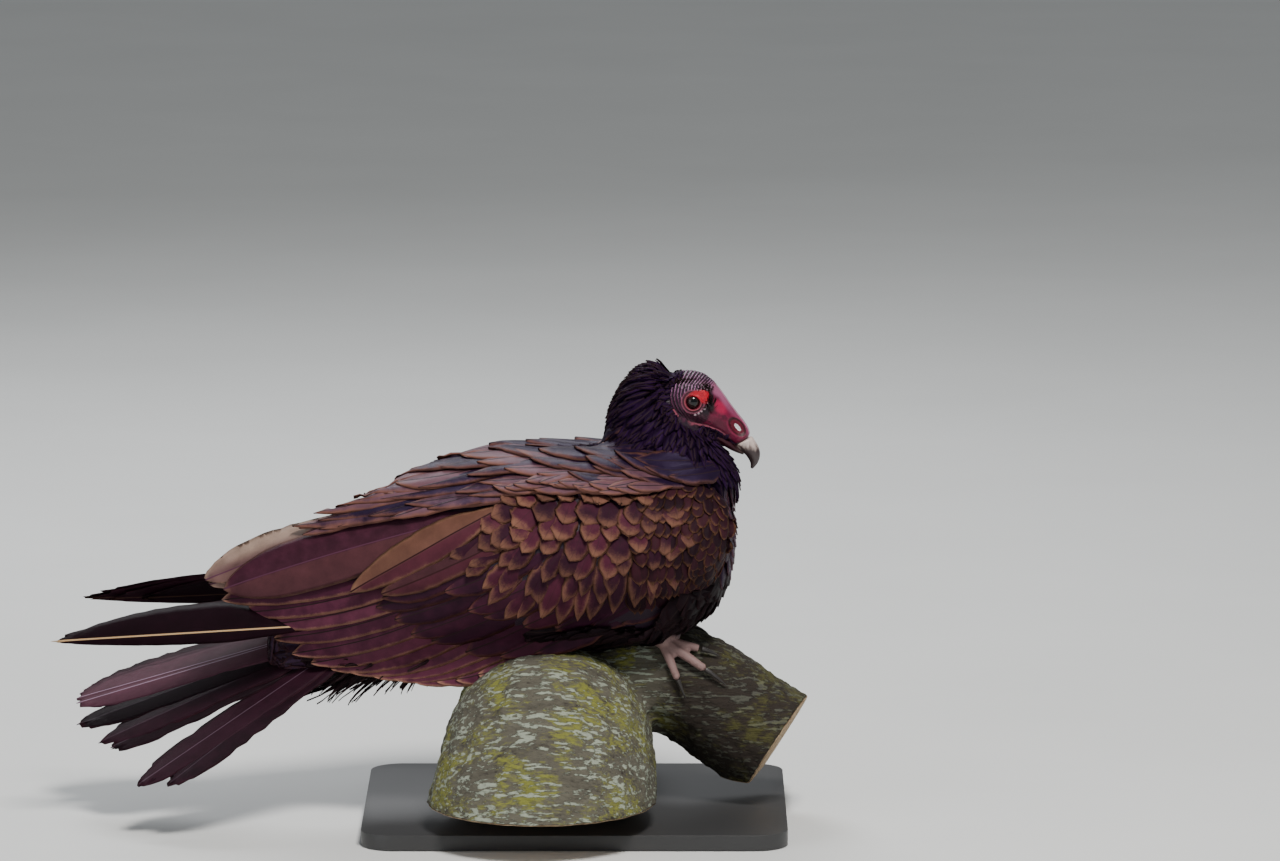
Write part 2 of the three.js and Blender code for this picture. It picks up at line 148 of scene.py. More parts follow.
class Wire:
    """One output socket of a material. Sums and products on it add the Math nodes they need."""

    def __init__(self, finish, socket):
        self.finish = finish
        self.socket = socket

    def maths(self, operation, *values):
        return self.finish.node("ShaderNodeMath", {"operation": operation}, dict(enumerate(values)))

    def __add__(self, other):
        return self.maths("ADD", self, other)

    def __sub__(self, other):
        return self.maths("SUBTRACT", self, other)

    def __rsub__(self, other):
        return self.maths("SUBTRACT", other, self)

    def __mul__(self, other):
        return self.maths("MULTIPLY", self, other)

    def __truediv__(self, other):
        return self.maths("DIVIDE", self, other)

    def __pow__(self, other):
        return self.maths("POWER", self, other)

    def __abs__(self):
        return self.maths("ABSOLUTE", self)

    __radd__ = __add__
    __rmul__ = __mul__


class Finish:
    """A material in the making, on a Principled shader."""

    def __init__(self, name, **constants):
        self.material = bpy.data.materials.new(name)
        self.material.use_nodes = True
        self.tree = self.material.node_tree
        self.shader = self.tree.nodes["Principled BSDF"]
        for key, value in constants.items():
            self.shader.inputs[key.replace("_", " ")].default_value = value

    def node(self, kind, settings=None, values=None, output=0):
        made = self.tree.nodes.new(kind)
        for key, value in (settings or {}).items():
            if key == "stops":
                self.set_stops(made.color_ramp, value)
            else:
                setattr(made, key, value)
        for key, value in (values or {}).items():
            self.feed(made.inputs[key], value)
        return Wire(self, made.outputs[output])

    def set_stops(self, ramp, stops):
        while len(ramp.elements) < len(stops):
            ramp.elements.new(1)
        for element, (place, colour) in zip(ramp.elements, stops):
            element.position = place
            element.color = (*colour, 1)

    def feed(self, socket, value):
        if isinstance(value, Wire):
            self.tree.links.new(value.socket, socket)
        elif isinstance(value, tuple) and socket.type == "RGBA":
            socket.default_value = (*value, 1)
        else:
            socket.default_value = value

    def mix(self, factor, a, b, blend="MIX"):
        settings = {"data_type": "RGBA", "blend_type": blend}
        return self.node("ShaderNodeMix", settings, {0: factor, 6: a, 7: b}, output=2)

    def step(self, value, low, high):
        settings = {"interpolation_type": "SMOOTHSTEP"}
        return self.node("ShaderNodeMapRange", settings, {"Value": value, "From Min": low, "From Max": high})

    def place(self):
        return self.node("ShaderNodeTexCoord", output="Object")

    def stretched(self, vector, scale):
        return self.node("ShaderNodeVectorMath", {"operation": "MULTIPLY"}, {0: vector, 1: scale})

    def noise(self, vector, scale, detail=3, roughness=0.55):
        values = {"Vector": vector, "Scale": scale, "Detail": detail, "Roughness": roughness}
        return self.node("ShaderNodeTexNoise", values=values)

    def attribute(self, name, output="Fac"):
        return self.node("ShaderNodeAttribute", {"attribute_name": name}, output=output)

    def bump(self, height, strength, distance):
        values = {"Height": height, "Strength": strength, "Distance": distance}
        return self.node("ShaderNodeBump", values=values)

    def done(self, **surface):
        for key, value in surface.items():
            self.feed(self.shader.inputs[key.replace("_", " ")], value)
        return self.material


def feather_finish(
    name,
    centre,
    fringe,
    fringe_width,
    dark=None,
    bleach_and_highlight_colour=None,
    shaft=(0.02, 0.01, 0.01),
    shaft_width=0.5,
    roughness=0.5,
    lower_vane=None,
    sheen=0.12,
    shaft_show=1.0,
    bare_shaft=1.0,
    gloss=(1.0, 1.0, 1.0),
    relief_show=1.0,
):
    """Feather vanes: a darker middle, a worn fringe, a shaft and slanting barbs. Lengths in millimetres."""
    f = Finish(name, Specular_IOR_Level=sheen, Specular_Tint=(*gloss, 1))
    vane = f.node("ShaderNodeUVMap", {"uv_map": "Vane"})
    across_along = f.node("ShaderNodeSeparateXYZ", values={0: vane})
    across = across_along
    along = Wire(f, across_along.socket.node.outputs[1])
    edge = f.attribute("Edge")
    tone = f.attribute("Tone")
    bleach = f.attribute("Bleach")
    mottle = f.noise(f.place(), 90, 4)
    fine = f.noise(f.place(), 700, 3)
    barb = f.node("ShaderNodeMath", {"operation": "SINE"}, {0: (along - 1.1 * abs(across)) * 9 + mottle * 9})
    base = f.mix(f.step(tone + 0.7 * mottle, 0.55, 1.15), dark or centre, centre)
    if lower_vane:
        base = f.mix(f.step(across + 1.5 * mottle, 0.6, 2.2), base, lower_vane)
    reach = fringe_width * (0.3 + 1.4 * mottle)
    worn = 1 - f.step(edge / reach + 0.9 * (fine - 0.5) + 0.22 * barb, 0.1, 1.3)
    colour = f.mix(worn * (0.72 + 0.28 * tone), base, fringe)
    # Paler where the mask read above is high: faded feathers on the tail, and on the tertials a painted highlight where
    # light from above falls on their upper vanes.
    if bleach_and_highlight_colour:
        colour = f.mix(f.step(bleach, 0.0, 1.0), colour, bleach_and_highlight_colour)
    cloud = f.noise(f.place(), 45, 3)
    streak = 0.80 + 0.14 * barb * fine + 0.45 * (mottle - 0.5) + 0.25 * fine + 0.5 * (cloud - 0.5) + 0.16 * (tone - 0.5)
    grey = f.node("ShaderNodeCombineColor", values={0: streak, 1: streak, 2: streak})
    colour = f.mix(1.0, colour, grey, "MULTIPLY")
    quill = (1 - f.step(abs(across), shaft_width * 0.6, shaft_width)) * shaft_show
    quill = quill * (bare_shaft + (1 - bare_shaft) * bleach)
    colour = f.mix(quill, colour, shaft)
    relief = 0.5 * barb + 0.9 * fine + 2.2 * quill
    return f.done(
        Base_Color=colour,
        Roughness=roughness + 0.22 * (fine - 0.5) + 0.12 * worn,
        Normal=f.bump(relief, 0.35 * relief_show, 0.00035),
    )


# ---- Surfaces the coat lies on -----------------------------------------------------------------------------


class Surface:
    """A smooth shell with quick answers to 'where is the nearest point, and which way is out'."""

    def __init__(self, name, nodes, voxel, smoothing):
        self.obj = welded_copy(name, *nodes)
        remesh(self.obj, voxel, smoothing)
        self.points = points_of(self.obj)
        self.normals = normals_of(self.obj)
        polygons = [tuple(p.vertices) for p in self.obj.data.polygons]
        self.tree = BVHTree.FromPolygons([tuple(p) for p in self.points], polygons)
        self.face_normals = unit(np.array([self.normals[list(p)].mean(0) for p in polygons]))
        self.faces = polygons

    def nearest(self, points):
        """Nearest points and smooth normals for an array of points."""
        found = [self.tree.find_nearest(p) for p in points.reshape(-1, 3).tolist()]
        places = np.array([f[0] for f in found])
        normals = self.face_normals[[f[2] for f in found]]
        return places.reshape(points.shape), normals.reshape(points.shape)

    def remove(self):
        bpy.data.objects.remove(self.obj)


class Relief:
    """The right side of a surface as depths behind the leaning side plane, carried on smoothly past its edge."""

    def __init__(self, surface, low, high, pitch=3.0):
        self.low = np.array(low, float)
        self.pitch = pitch
        self.shape = tuple(int((h - l) / pitch) + 1 for l, h in zip(low, high))
        inward = Vector((0, 1, -SIDE_SLOPE)).normalized()
        start = 220.0
        depth = np.full(self.shape, np.nan)
        for i in range(self.shape[0]):
            for j in range(self.shape[1]):
                a, b = self.low + (i * pitch, j * pitch)
                hit = surface.tree.ray_cast((a, -start, b + SIDE_SLOPE * start), inward)[0]
                if hit is not None:
                    depth[i, j] = -hit.y
        known = ~np.isnan(depth)
        heights = np.arange(self.shape[1]) * pitch + low[1]
        lengths = np.arange(self.shape[0]) * pitch + low[0]
        self.lengths, self.heights = lengths, heights
        self.top = np.where(known.any(1), (known * heights).max(1), heights[0])
        self.front = np.where(known.any(0), np.where(known, lengths[:, None], -1e3).max(0), lengths[-1])
        self.depth = self.filled(depth)

    def filled(self, depth):
        known = ~np.isnan(depth)
        filled = np.where(known, depth, np.nanmean(depth))
        for _ in range(500):
            filled = np.where(known, depth, self.blurred(filled))
        return self.blurred(self.blurred(filled))

    def blurred(self, grid):
        p = np.pad(grid, 1, mode="edge")
        return (p[:-2, 1:-1] + p[2:, 1:-1] + p[1:-1, :-2] + p[1:-1, 2:] + grid) / 5

    def sample(self, ab):
        g = (ab - self.low) / self.pitch
        g = np.clip(g, 0, np.array(self.shape) - 1.001)
        i = g.astype(int)
        f = g - i
        x, y = i[..., 0], i[..., 1]
        u, v = f[..., 0], f[..., 1]
        d = self.depth
        return (
            d[x, y] * (1 - u) * (1 - v)
            + d[x + 1, y] * u * (1 - v)
            + d[x, y + 1] * (1 - u) * v
            + d[x + 1, y + 1] * u * v
        )

    def points(self, ab, wrap=False):
        """Points and outward normals on the bird's right side for an array of side plane points.

        With wrap, what lies past the top or front outline is folded in over the back or the breast."""
        step = self.pitch
        over = ahead = np.zeros(ab.shape[:-1])
        if wrap:
            top = np.interp(ab[..., 0], self.lengths, self.top) - 2.5
            over = np.clip(ab[..., 1] - top, 0, 25)
            front = np.interp(ab[..., 1] - over, self.heights, self.front) - 2.5
            ahead = np.clip(ab[..., 0] - front, 0, 14)
            ab = ab - np.stack([ahead, over], -1)

        def lifted(q):
            d = self.sample(q)
            return np.stack([q[..., 0], -d, q[..., 1] + SIDE_SLOPE * d], -1)

        here = lifted(ab)
        along = lifted(ab + (step, 0)) - lifted(ab - (step, 0))
        up = lifted(ab + (0, step)) - lifted(ab - (0, step))
        here = here + np.stack([0 * over, over + ahead, -0.12 * over], -1)
        return here, unit(unit(np.cross(along, up)) + np.stack([ahead / 6, 0 * over, over / 6], -1))


# ---- Feathers ----------------------------------------------------------------------------------------------


def stations(count, bias=1.5):
    """Shares of a feather's length from root to tip, closer together near the tip."""
    k = np.linspace(0, 1, count)
    return 1 - (1 - k) ** bias


def outline(s, roundness, root=0.4):
    """Half width along a feather as a share of its widest: roundness 1 is a broad tip, 0 a long point."""
    start = 0.12 + 0.62 * roundness
    fall = np.clip((s - start) / (1 - start), 0, 1)
    tip = (1 - fall ** (1.6 + 0.9 * roundness)) ** (0.85 - 0.37 * roundness)
    return np.maximum((root + (1 - root) * smoothstep(s, 0, 0.4)) * tip, 0.05)


class Coat:
    """Feathers gathered into one joined mesh. Each is a thin closed blade."""

    def __init__(self):
        self.blocks = []

    def add(self, top, normal, thickness, edge, across, along, tone, bleach=None, size=0.003, roots=None):
        """top and normal are arrays (feather, station, column, 3) with columns left to right of the lie."""
        bleach = np.zeros_like(edge) if bleach is None else np.broadcast_to(bleach, edge.shape)
        tone = np.broadcast_to(np.asarray(tone).reshape(-1, 1, 1), edge.shape)
        roots = top[:, 0, top.shape[2] // 2] if roots is None else roots
        self.blocks.append((top, normal, thickness, edge, across, along, tone, bleach, size, roots))

    def build(self, name):
        verts, loops, starts, data = [], [], [], []
        base = corner = 0
        sizes = np.concatenate([np.full(len(b[-1]), b[-2]) for b in self.blocks])
        patches = set_apart(roots_on_unwrap(np.concatenate([b[-1] for b in self.blocks])), sizes)
        for top, normal, thickness, edge, across, along, tone, bleach, size, roots in self.blocks:
            count, rows, cols = edge.shape
            ring = 2 * (cols - 1)
            back = np.arange(cols - 2, 0, -1)

            def ringed(values):
                return np.concatenate([values, values[:, :, back]], 2)

            under = top[:, :, back] - normal[:, :, back] * thickness[:, :, back, None]
            verts.append(np.concatenate([top, under], 2).reshape(-1, 3))
            patch, patches = patches[:count], patches[count:]
            middle = across / (np.abs(across).max((1, 2), keepdims=True) + 1e-9)
            share = along / (along.max((1, 2), keepdims=True) + 1e-9)
            u = patch[:, 0, None, None] + 0.46 * size * middle
            v = patch[:, 1, None, None] + 0.92 * size * (share - 0.5)
            data.append(
                np.stack([ringed(x).reshape(-1) for x in (edge, across, along, tone, bleach, u, v)], 1)
            )
            r = np.arange(ring)
            s = np.arange(rows - 1)[:, None]
            a = s * ring + r
            b = s * ring + (r + 1) % ring
            quads = np.stack([a, a + ring, b + ring, b], -1).reshape(-1, 4)
            caps = np.stack([r, (rows - 1) * ring + r[::-1]])
            one = np.concatenate([quads.ravel(), caps.ravel()])
            offsets = base + np.arange(count)[:, None] * rows * ring
            loops.append((one[None] + offsets).reshape(-1))
            ends = np.concatenate([np.arange(len(quads)) * 4, quads.size + ring * np.arange(2)])
            starts.append((ends[None] + corner + np.arange(count)[:, None] * len(one)).reshape(-1))
            base += count * rows * ring
            corner += count * len(one)
        verts, loops, starts, data = (np.concatenate(x) for x in (verts, loops, starts, data))
        mesh = bpy.data.meshes.new(name)
        mesh.vertices.add(len(verts))
        mesh.vertices.foreach_set("co", to_world(verts).ravel())
        mesh.loops.add(len(loops))
        mesh.loops.foreach_set("vertex_index", loops.astype(np.int32))
        mesh.polygons.add(len(starts))
        mesh.polygons.foreach_set("loop_start", starts.astype(np.int32))
        mesh.update(calc_edges=True)
        mesh.validate()
        for attribute, column in (("Edge", 0), ("Tone", 3), ("Bleach", 4)):
            values = mesh.attributes.new(attribute, "FLOAT", "POINT")
            values.data.foreach_set("value", data[:, column].astype(np.float32))
        corners = np.empty(len(mesh.loops), np.int32)
        mesh.loops.foreach_get("vertex_index", corners)
        for uv_name, columns in (("Vane", [1, 2]), ("OFBake", [5, 6])):
            uv = mesh.uv_layers.new(name=uv_name)
            uv.data.foreach_set("uv", data[corners][:, columns].astype(np.float32).ravel())
        return new_object(name, mesh)


def roots_on_unwrap(roots):
    """Where feathers' roots fall on an unwrap of the skin: along the body, and round it."""
    x, y, z = roots.T
    axis_z = np.interp(x, [-240, -100, 60, 125], [215, 270, 290, 320])
    on_neck = (z > 350) & (x > 15)
    round_trunk = np.arctan2(y, z - axis_z) / (2 * math.pi) + 0.5
    round_neck = np.arctan2(y, x - np.interp(z, [336, 380, 437], [70, 64, 62])) / (2 * math.pi) + 0.5
    u = np.where(on_neck, 0.80 + 0.18 * (z - 350) / 95, 0.02 + 0.76 * (x + 420) / 600)
    v = np.where(on_neck, round_neck, round_trunk)
    return np.stack([u, 0.02 + 0.96 * v], 1)


def set_apart(centres, sizes):
    """Large vanes' patches are moved off one another by the shortest way; tufts' tiny ones stay at their roots."""
    margin = sizes[:, None] / 2 + 0.001
    if sizes.max() > 0.01:
        room = 1.04 * (sizes[:, None] + sizes[None]) / 2
        order = np.arange(len(centres))
        first = np.where(order[:, None] > order[None], 1.0, -1.0)[..., None]
        for _ in range(2000):
            gap = centres[:, None] - centres[None]
            overlap = room[..., None] - np.abs(gap)
            hit = overlap.min(-1) > 1e-5
            np.fill_diagonal(hit, False)
            if not hit.any():
                break
            way = np.where(np.abs(gap) > 1e-6, np.sign(gap), first)
            nearest = overlap.argmin(-1)[..., None] == (0, 1)
            push = np.where(hit[..., None] & nearest, way * overlap, 0)
            centres = centres + 0.5 * push.sum(1) / np.maximum(hit.sum(1), 1)[:, None]
            centres = np.clip(centres, margin, 1 - margin)
    return np.clip(centres, margin, 1 - margin)


def mirrored(values, vector=True):
    flipped = values * (1, -1, 1) if vector else values
    return flipped[:, :, ::-1]


def add_pair(coat, top, normal, *rest, left_bleach_and_highlight=None, bleach=None, drop=0.0, **more):
    """Adds right side feathers and their mirror images on the left, let down a little towards the tail."""
    thickness, edge, across, along, tone = rest
    flip = lambda v: None if v is None else mirrored(np.broadcast_to(v, edge.shape), False)
    coat.add(top, normal, thickness, edge, across, along, tone, bleach=bleach, **more)
    left = mirrored(top)
    left[..., 2] -= drop * smoothstep(-left[..., 0], 50, 170)
    coat.add(
        left,
        mirrored(normal),
        mirrored(thickness, False),
        mirrored(edge, False),
        mirrored(across, False),
        mirrored(along, False),
        tone,
        bleach=flip(bleach if left_bleach_and_highlight is None else left_bleach_and_highlight),
        **more,
    )


def side_feathers(
    coat,
    relief,
    spines,
    widths,
    roundness,
    root_depth,
    tip_lift=0.0,
    roll=1.5,
    camber=1.0,
    rows=11,
    cols=5,
    thick=0.5,
    ragged=0.05,
    split=0.0,
    bleach=None,
    left_bleach_and_highlight=None,
    tone=None,
    upper_share=0.5,
    size=0.003,
    lift=0.0,
    wrap=False,
    drop=0.0,
):
    """Feathers drawn on the side plane. spines (feather, 3, 2) hold root, bend and tip points."""
    spines = np.asarray(spines, float)
    count = len(spines)
    s = stations(rows)
    t = s[None, :, None]
    root, bend, tip = (spines[:, k, None] for k in range(3))
    line = root * (1 - t) ** 2 + bend * 2 * t * (1 - t) + tip * t**2
    heading = unit((bend - root) * (1 - t) + (tip - bend) * t)
    side = np.stack([-heading[..., 1], heading[..., 0]], -1)  # to the left of the heading: down, on a feather lying back
    widths = np.broadcast_to(np.asarray(widths, float), count)
    roundness = np.broadcast_to(np.asarray(roundness, float), count)
    half = np.array([outline(s, r) for r in roundness]) * widths[:, None] / 2
    half = half * (1 + ragged * rng.normal(size=half.shape))
    c = np.linspace(-1, 1, cols)
    share = np.where(c < 0, 2 * upper_share, 2 * (1 - upper_share))
    offset = half[..., None] * c * share
    notch = 1 - split * (rng.random((count, rows, cols)) < 0.25) * (np.abs(c) > 0.9) * (s > 0.35)[:, None]
    offset = offset * notch
    flat = line[:, :, None] + side[:, :, None] * offset[..., None]
    sweep = -0.35 * half[..., None] * np.abs(c) ** 1.5 * smoothstep(s, 0.6, 1)[:, None]
    jag = rng.normal(size=(count, rows, cols)) * (ragged * widths[:, None, None]) * 0.6
    flat = flat + heading[:, :, None] * (sweep + jag * smoothstep(s, 0.75, 1)[:, None])[..., None]
    top, normal = relief.points(flat, wrap)
    length = np.linalg.norm(spines[:, 0] - spines[:, 2], axis=1)
    lift = np.reshape(lift, (-1, 1, 1))
    tip_lift = np.reshape(tip_lift, (-1, 1))
    height = -root_depth + (tip_lift + root_depth) * s**0.8
    rise = height[..., None] + roll * c * 0.5 + camber * (1 - c**2) - camber * 0.5 + lift
    top = top + normal * rise[..., None]
    thickness = thick * (1 - 0.75 * np.abs(c) ** 2) * np.ones((count, rows, 1))
    along = s[None, :, None] * length[:, None, None] * np.ones(cols)
    edge = np.minimum(half[..., None] * (1 - np.abs(c)) * share * 1.3, (1 - s[:, None]) * length[:, None, None] * 0.6)
    across = offset.copy()
    tone = rng.random(count) if tone is None else tone
    add_pair(
        coat, top, normal, thickness, edge, across, along, tone, bleach=bleach, left_bleach_and_highlight=left_bleach_and_highlight, drop=drop, size=size
    )


def scattered(surface, spacing, keep):
    """Root points over a surface, each further than spacing(point) from the next."""
    tri = np.array([f[:3] for f in surface.faces])
    quad = np.array([(f[0], f[2], f[-1]) for f in surface.faces])
    tri = np.concatenate([tri, quad])
    a, b, c = (surface.points[tri[:, k]] for k in range(3))
    area = np.linalg.norm(np.cross(b - a, c - a), axis=1) / 2
    picks = rng.choice(len(tri), size=60000, p=area / area.sum())
    u, v = rng.random((2, len(picks), 1))
    over = u + v > 1
    u, v = np.where(over, 1 - u, u), np.where(over, 1 - v, v)
    points = a[picks] + (b - a)[picks] * u + (c - a)[picks] * v
    normals = unit(np.cross(b - a, c - a))[picks]
    wanted = keep(points, normals)
    points, normals = points[wanted], normals[wanted]
    gaps = spacing(points)
    cell = 4.0
    taken, chosen = {}, []
    for k, (p, gap) in enumerate(zip(points.tolist(), gaps.tolist())):
        home = tuple(int(q // cell) for q in p)
        reach = int(gap // cell) + 1
        near = (
            q
            for i in range(-reach, reach + 1)
            for j in range(-reach, reach + 1)
            for m in range(-reach, reach + 1)
            for q in taken.get((home[0] + i, home[1] + j, home[2] + m), ())
        )
        if all((p[0] - q[0]) ** 2 + (p[1] - q[1]) ** 2 + (p[2] - q[2]) ** 2 > gap * gap for q in near):
            taken.setdefault(home, []).append(p)
            chosen.append(k)
    return points[chosen]


def body_feathers(
    coat,
    surface,
    roots,
    headings,
    lengths,
    widths,
    roundness=0.6,
    root_depth=4.0,
    tip_lift=0.0,
    camber=0.8,
    rows=6,
    cols=3,
    thick=0.5,
    ragged=0.1,
    curl=0.0,
    bleach=None,
    size=0.003,
):
    """Feathers that walk over a surface from their roots along the lie of the coat."""
    count = len(roots)
    s = stations(rows, 1.35)
    lengths = np.broadcast_to(np.asarray(lengths, float), count)
    widths = np.broadcast_to(np.asarray(widths, float), count)
    roundness = np.broadcast_to(np.asarray(roundness, float), count)
    here, normal = surface.nearest(roots)
    line, normals, sides = [], [], []
    for k in range(rows):
        heading = headings - normal * (headings * normal).sum(1, keepdims=True)
        heading = unit(heading)
        line.append(here)
        normals.append(normal)
        sides.append(np.cross(normal, heading))
        if k < rows - 1:
            ahead = here + heading * ((s[k + 1] - s[k]) * lengths)[:, None]
            here, normal = surface.nearest(ahead)
            headings = unit(0.7 * headings + 0.3 * unit(here - line[-1]))
    line, normals, sides = (np.stack(x, 1) for x in (line, normals, sides))
    half = np.array([outline(s, r) for r in roundness]) * widths[:, None] / 2
    half = half * (1 + ragged * rng.normal(size=half.shape))
    c = np.linspace(-1, 1, cols)
    lift = np.broadcast_to(np.asarray(tip_lift, float), count)
    depth = np.broadcast_to(np.asarray(root_depth, float), count)
    height = -depth[:, None] + (lift + depth)[:, None] * s**0.8 + curl * lift[:, None] * s**3
    tilt = rng.normal(0, 0.5, count)[:, None, None]
    rise = height[..., None] + tilt * c + camber * (1 - c**2)
    top = line[:, :, None] + sides[:, :, None] * (half[..., None] * c)[..., None] + normals[:, :, None] * rise[..., None]
    normal4 = np.repeat(normals[:, :, None], cols, 2)
    thickness = thick * np.ones((count, rows, cols))
    along = s[None, :, None] * lengths[:, None, None] * np.ones(cols)
    edge = np.minimum(half[..., None] * (1 - np.abs(c)), (1 - s[:, None]) * lengths[:, None, None])
    across = half[..., None] * c
    coat.add(top, normal4, thickness, edge, across, along, rng.random(count), bleach=bleach, size=size)


# ---- Camera, light and floor -------------------------------------------------------------------------------

AIM = Vector((0.0507, 0, 0.3054))
ELEVATION = math.radians(9)
CAMERA_DISTANCE = 6.0


def add_camera():
    data = bpy.data.cameras.new("camera")
    data.sensor_width = 36
    data.lens = 216
    camera = bpy.data.objects.new("camera", data)
    bpy.context.scene.collection.objects.link(camera)
    looking = Vector((0, math.cos(ELEVATION), -math.sin(ELEVATION)))
    camera.location = AIM - looking * CAMERA_DISTANCE
    camera.rotation_euler = looking.to_track_quat("-Z", "Y").to_euler()
    bpy.context.scene.camera = camera


def add_lamp(name, place, size, power, colour):
    data = bpy.data.lights.new(name, "AREA")
    data.shape = "DISK"
    data.size = size
    data.energy = power
    data.color = colour
    lamp = bpy.data.objects.new(name, data)
    bpy.context.scene.collection.objects.link(lamp)
    lamp.location = place
    lamp.rotation_euler = (AIM - Vector(place)).to_track_quat("-Z", "Y").to_euler()


def add_studio():
    add_lamp("key", (0.5, -1.5, 2.6), 0.8, 92, (1, 0.97, 0.93))
    add_lamp("fill", (-2.2, -1.9, 0.9), 1.6, 12, (0.92, 0.95, 1))
    add_lamp("rim", (-0.6, 1.8, 2.1), 1.2, 40, (0.95, 0.97, 1))
    world = bpy.data.worlds.new("studio")
    world.use_nodes = True
    world.node_tree.nodes["Background"].inputs[0].default_value = (0.75, 0.78, 0.8, 1)
    world.node_tree.nodes["Background"].inputs[1].default_value = 0.32
    bpy.context.scene.world = world
    deselect_all()
    bpy.ops.mesh.primitive_plane_add(size=40, location=(0, 0, -0.0005))
    floor = bpy.context.object
    floor.name = "floor"
    f = Finish("matt paper floor", Roughness=0.9)
    grain = f.noise(f.place(), 3, 4)
    floor.data.materials.append(f.done(Base_Color=f.mix(grain, (0.72, 0.73, 0.72), (0.80, 0.81, 0.80))))


# ---- Skin --------------------------------------------------------------------------------------------------

FLESH = ["trunk", "neck", "head", "wing_left", "wing_right", "leg_left", "leg_right", "foot_left", "foot_right"]
WING_FLESH_END = -0.115
EYE = np.array([92.0, 13.2, 408.6])
EYE_RADIUS = 6.0
# Lines on the head, as side plane points
WRINKLE_HEIGHTS = [387.8, 392.7, 399.9, 404.8, 410.8, 419.3, 426.5, 430.8]
FIRST_WRINKLE = [95.8, 82.6, 75.2, 73.2, 72.2, 73.7, 76.4, 78.1]
FIFTH_WRINKLE = [102.9, 89.8, 85.6, 83.4, 82.2, 83.8, 88.3, 91.2]
JAW_FOLD = [(76.6, 399.9), (82.6, 391.5), (93.4, 388.8), (102.9, 386.9), (111.3, 383.6), (119.6, 378.2), (124.4, 372.7)]
CULMEN = [(105.9, 418.1), (114.9, 412.0), (122.0, 402.3), (129.2, 393.9), (135.2, 385.4), (138.1, 378.2)]
LORE = (105.9, 402.6)
NOSTRIL = (126.6, 386.2)
WARTS = [(96.3, 397.0), (98.6, 398.6), (100.9, 400.4), (102.6, 402.4), (93.6, 395.8), (103.6, 405.0)]


def fractal(points, scale):
    scaled = points * scale
    return np.array([noise.fractal(Vector(q), 0.9, 2.1, 4) for q in scaled.tolist()])


def line_distance(points, line):
    """Distance from side plane points to a broken line, and whether they lie above it."""
    best = np.full(len(points), 1e9)
    above = np.zeros(len(points), bool)
    for a, b in zip(np.array(line[:-1], float), np.array(line[1:], float)):
        t = np.clip(((points - a) @ (b - a)) / ((b - a) @ (b - a)), 0, 1)
        off = points - a - t[:, None] * (b - a)
        gap = np.linalg.norm(off, axis=1)
        closer = gap < best
        above = np.where(closer, (b - a)[0] * off[:, 1] - (b - a)[1] * off[:, 0] > 0, above)
        best = np.minimum(best, gap)
    return best, above


def node_tree(*nodes):
    copy = welded_copy("measure", *nodes)
    tree = BVHTree.FromPolygons([tuple(p) for p in points_of(copy)], [tuple(p.vertices) for p in copy.data.polygons])
    bpy.data.objects.remove(copy)
    return tree


def gap_to(tree, points):
    return np.array([tree.find_nearest(p)[3] for p in points.tolist()])


def whole_flesh():
    """Trunk, neck, head, legs, feet and the fleshy front of the wings as one closed solid."""
    skin = welded_copy("skin", "trunk", "neck", "head", "leg_left", "leg_right", "foot_left", "foot_right")
    bm = bmesh.new()
    bm.from_mesh(skin.data)
    for node in ("wing_left", "wing_right"):
        wing = bmesh.new()
        wing.from_mesh(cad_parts[node].data)
        bmesh.ops.remove_doubles(wing, verts=wing.verts, dist=1e-6)
        geometry = wing.verts[:] + wing.edges[:] + wing.faces[:]
        bmesh.ops.bisect_plane(
            wing, geom=geometry, plane_co=(WING_FLESH_END, 0, 0), plane_no=(1, 0, 0), clear_inner=True
        )
        bmesh.ops.holes_fill(wing, edges=[e for e in wing.edges if e.is_boundary], sides=0)
        mesh = bpy.data.meshes.new("wing")
        wing.to_mesh(mesh)
        wing.free()
        bm.from_mesh(mesh)
        bpy.data.meshes.remove(mesh)
    bm.to_mesh(skin.data)
    bm.free()
    return skin


def subdivide_where(obj, wanted, cuts):
    bm = bmesh.new()
    bm.from_mesh(obj.data)
    bm.verts.ensure_lookup_table()
    edges = [e for e in bm.edges if wanted[e.verts[0].index] and wanted[e.verts[1].index]]
    bmesh.ops.subdivide_edges(bm, edges=edges, cuts=cuts, use_grid_fill=True)
    bmesh.ops.triangulate(bm, faces=[f for f in bm.faces if len(f.verts) > 4])
    bm.to_mesh(obj.data)
    bm.free()


def smooth_where(obj, weights, rounds):
    """Laplacian smoothing of the points by their weights."""
    points = points_of(obj)
    ends = np.empty(len(obj.data.edges) * 2, np.int32)
    obj.data.edges.foreach_get("vertices", ends)
    a, b = ends.reshape(-1, 2).T
    degree = np.bincount(ends, minlength=len(points))[:, None]
    for _ in range(rounds):
        total = np.zeros_like(points)
        np.add.at(total, a, points[b])
        np.add.at(total, b, points[a])
        points = points + (weights[:, None] * 0.5) * (total / degree - points)
    move_points(obj, points)


def side_plane(points):
    return np.stack([points[:, 0], points[:, 2] - SIDE_SLOPE * np.abs(points[:, 1])], 1)


def blob(points, centre, radii, turn=0.0):
    """1 at the centre of a soft oval on the side plane, 0 outside it."""
    turn = math.radians(turn)
    off = points - centre
    u = off[:, 0] * math.cos(turn) + off[:, 1] * math.sin(turn)
    v = -off[:, 0] * math.sin(turn) + off[:, 1] * math.cos(turn)
    return 1 - smoothstep(np.hypot(u / radii[0], v / radii[1]), 0.45, 1.15)


def wrinkle_pattern(ab):
    first = np.interp(ab[:, 1], WRINKLE_HEIGHTS, FIRST_WRINKLE)
    fifth = np.interp(ab[:, 1], WRINKLE_HEIGHTS, FIFTH_WRINKLE)
    level = 4 * (ab[:, 0] - first) / (fifth - first)
    return level, 0.5 + 0.5 * np.cos(2 * math.pi * level)


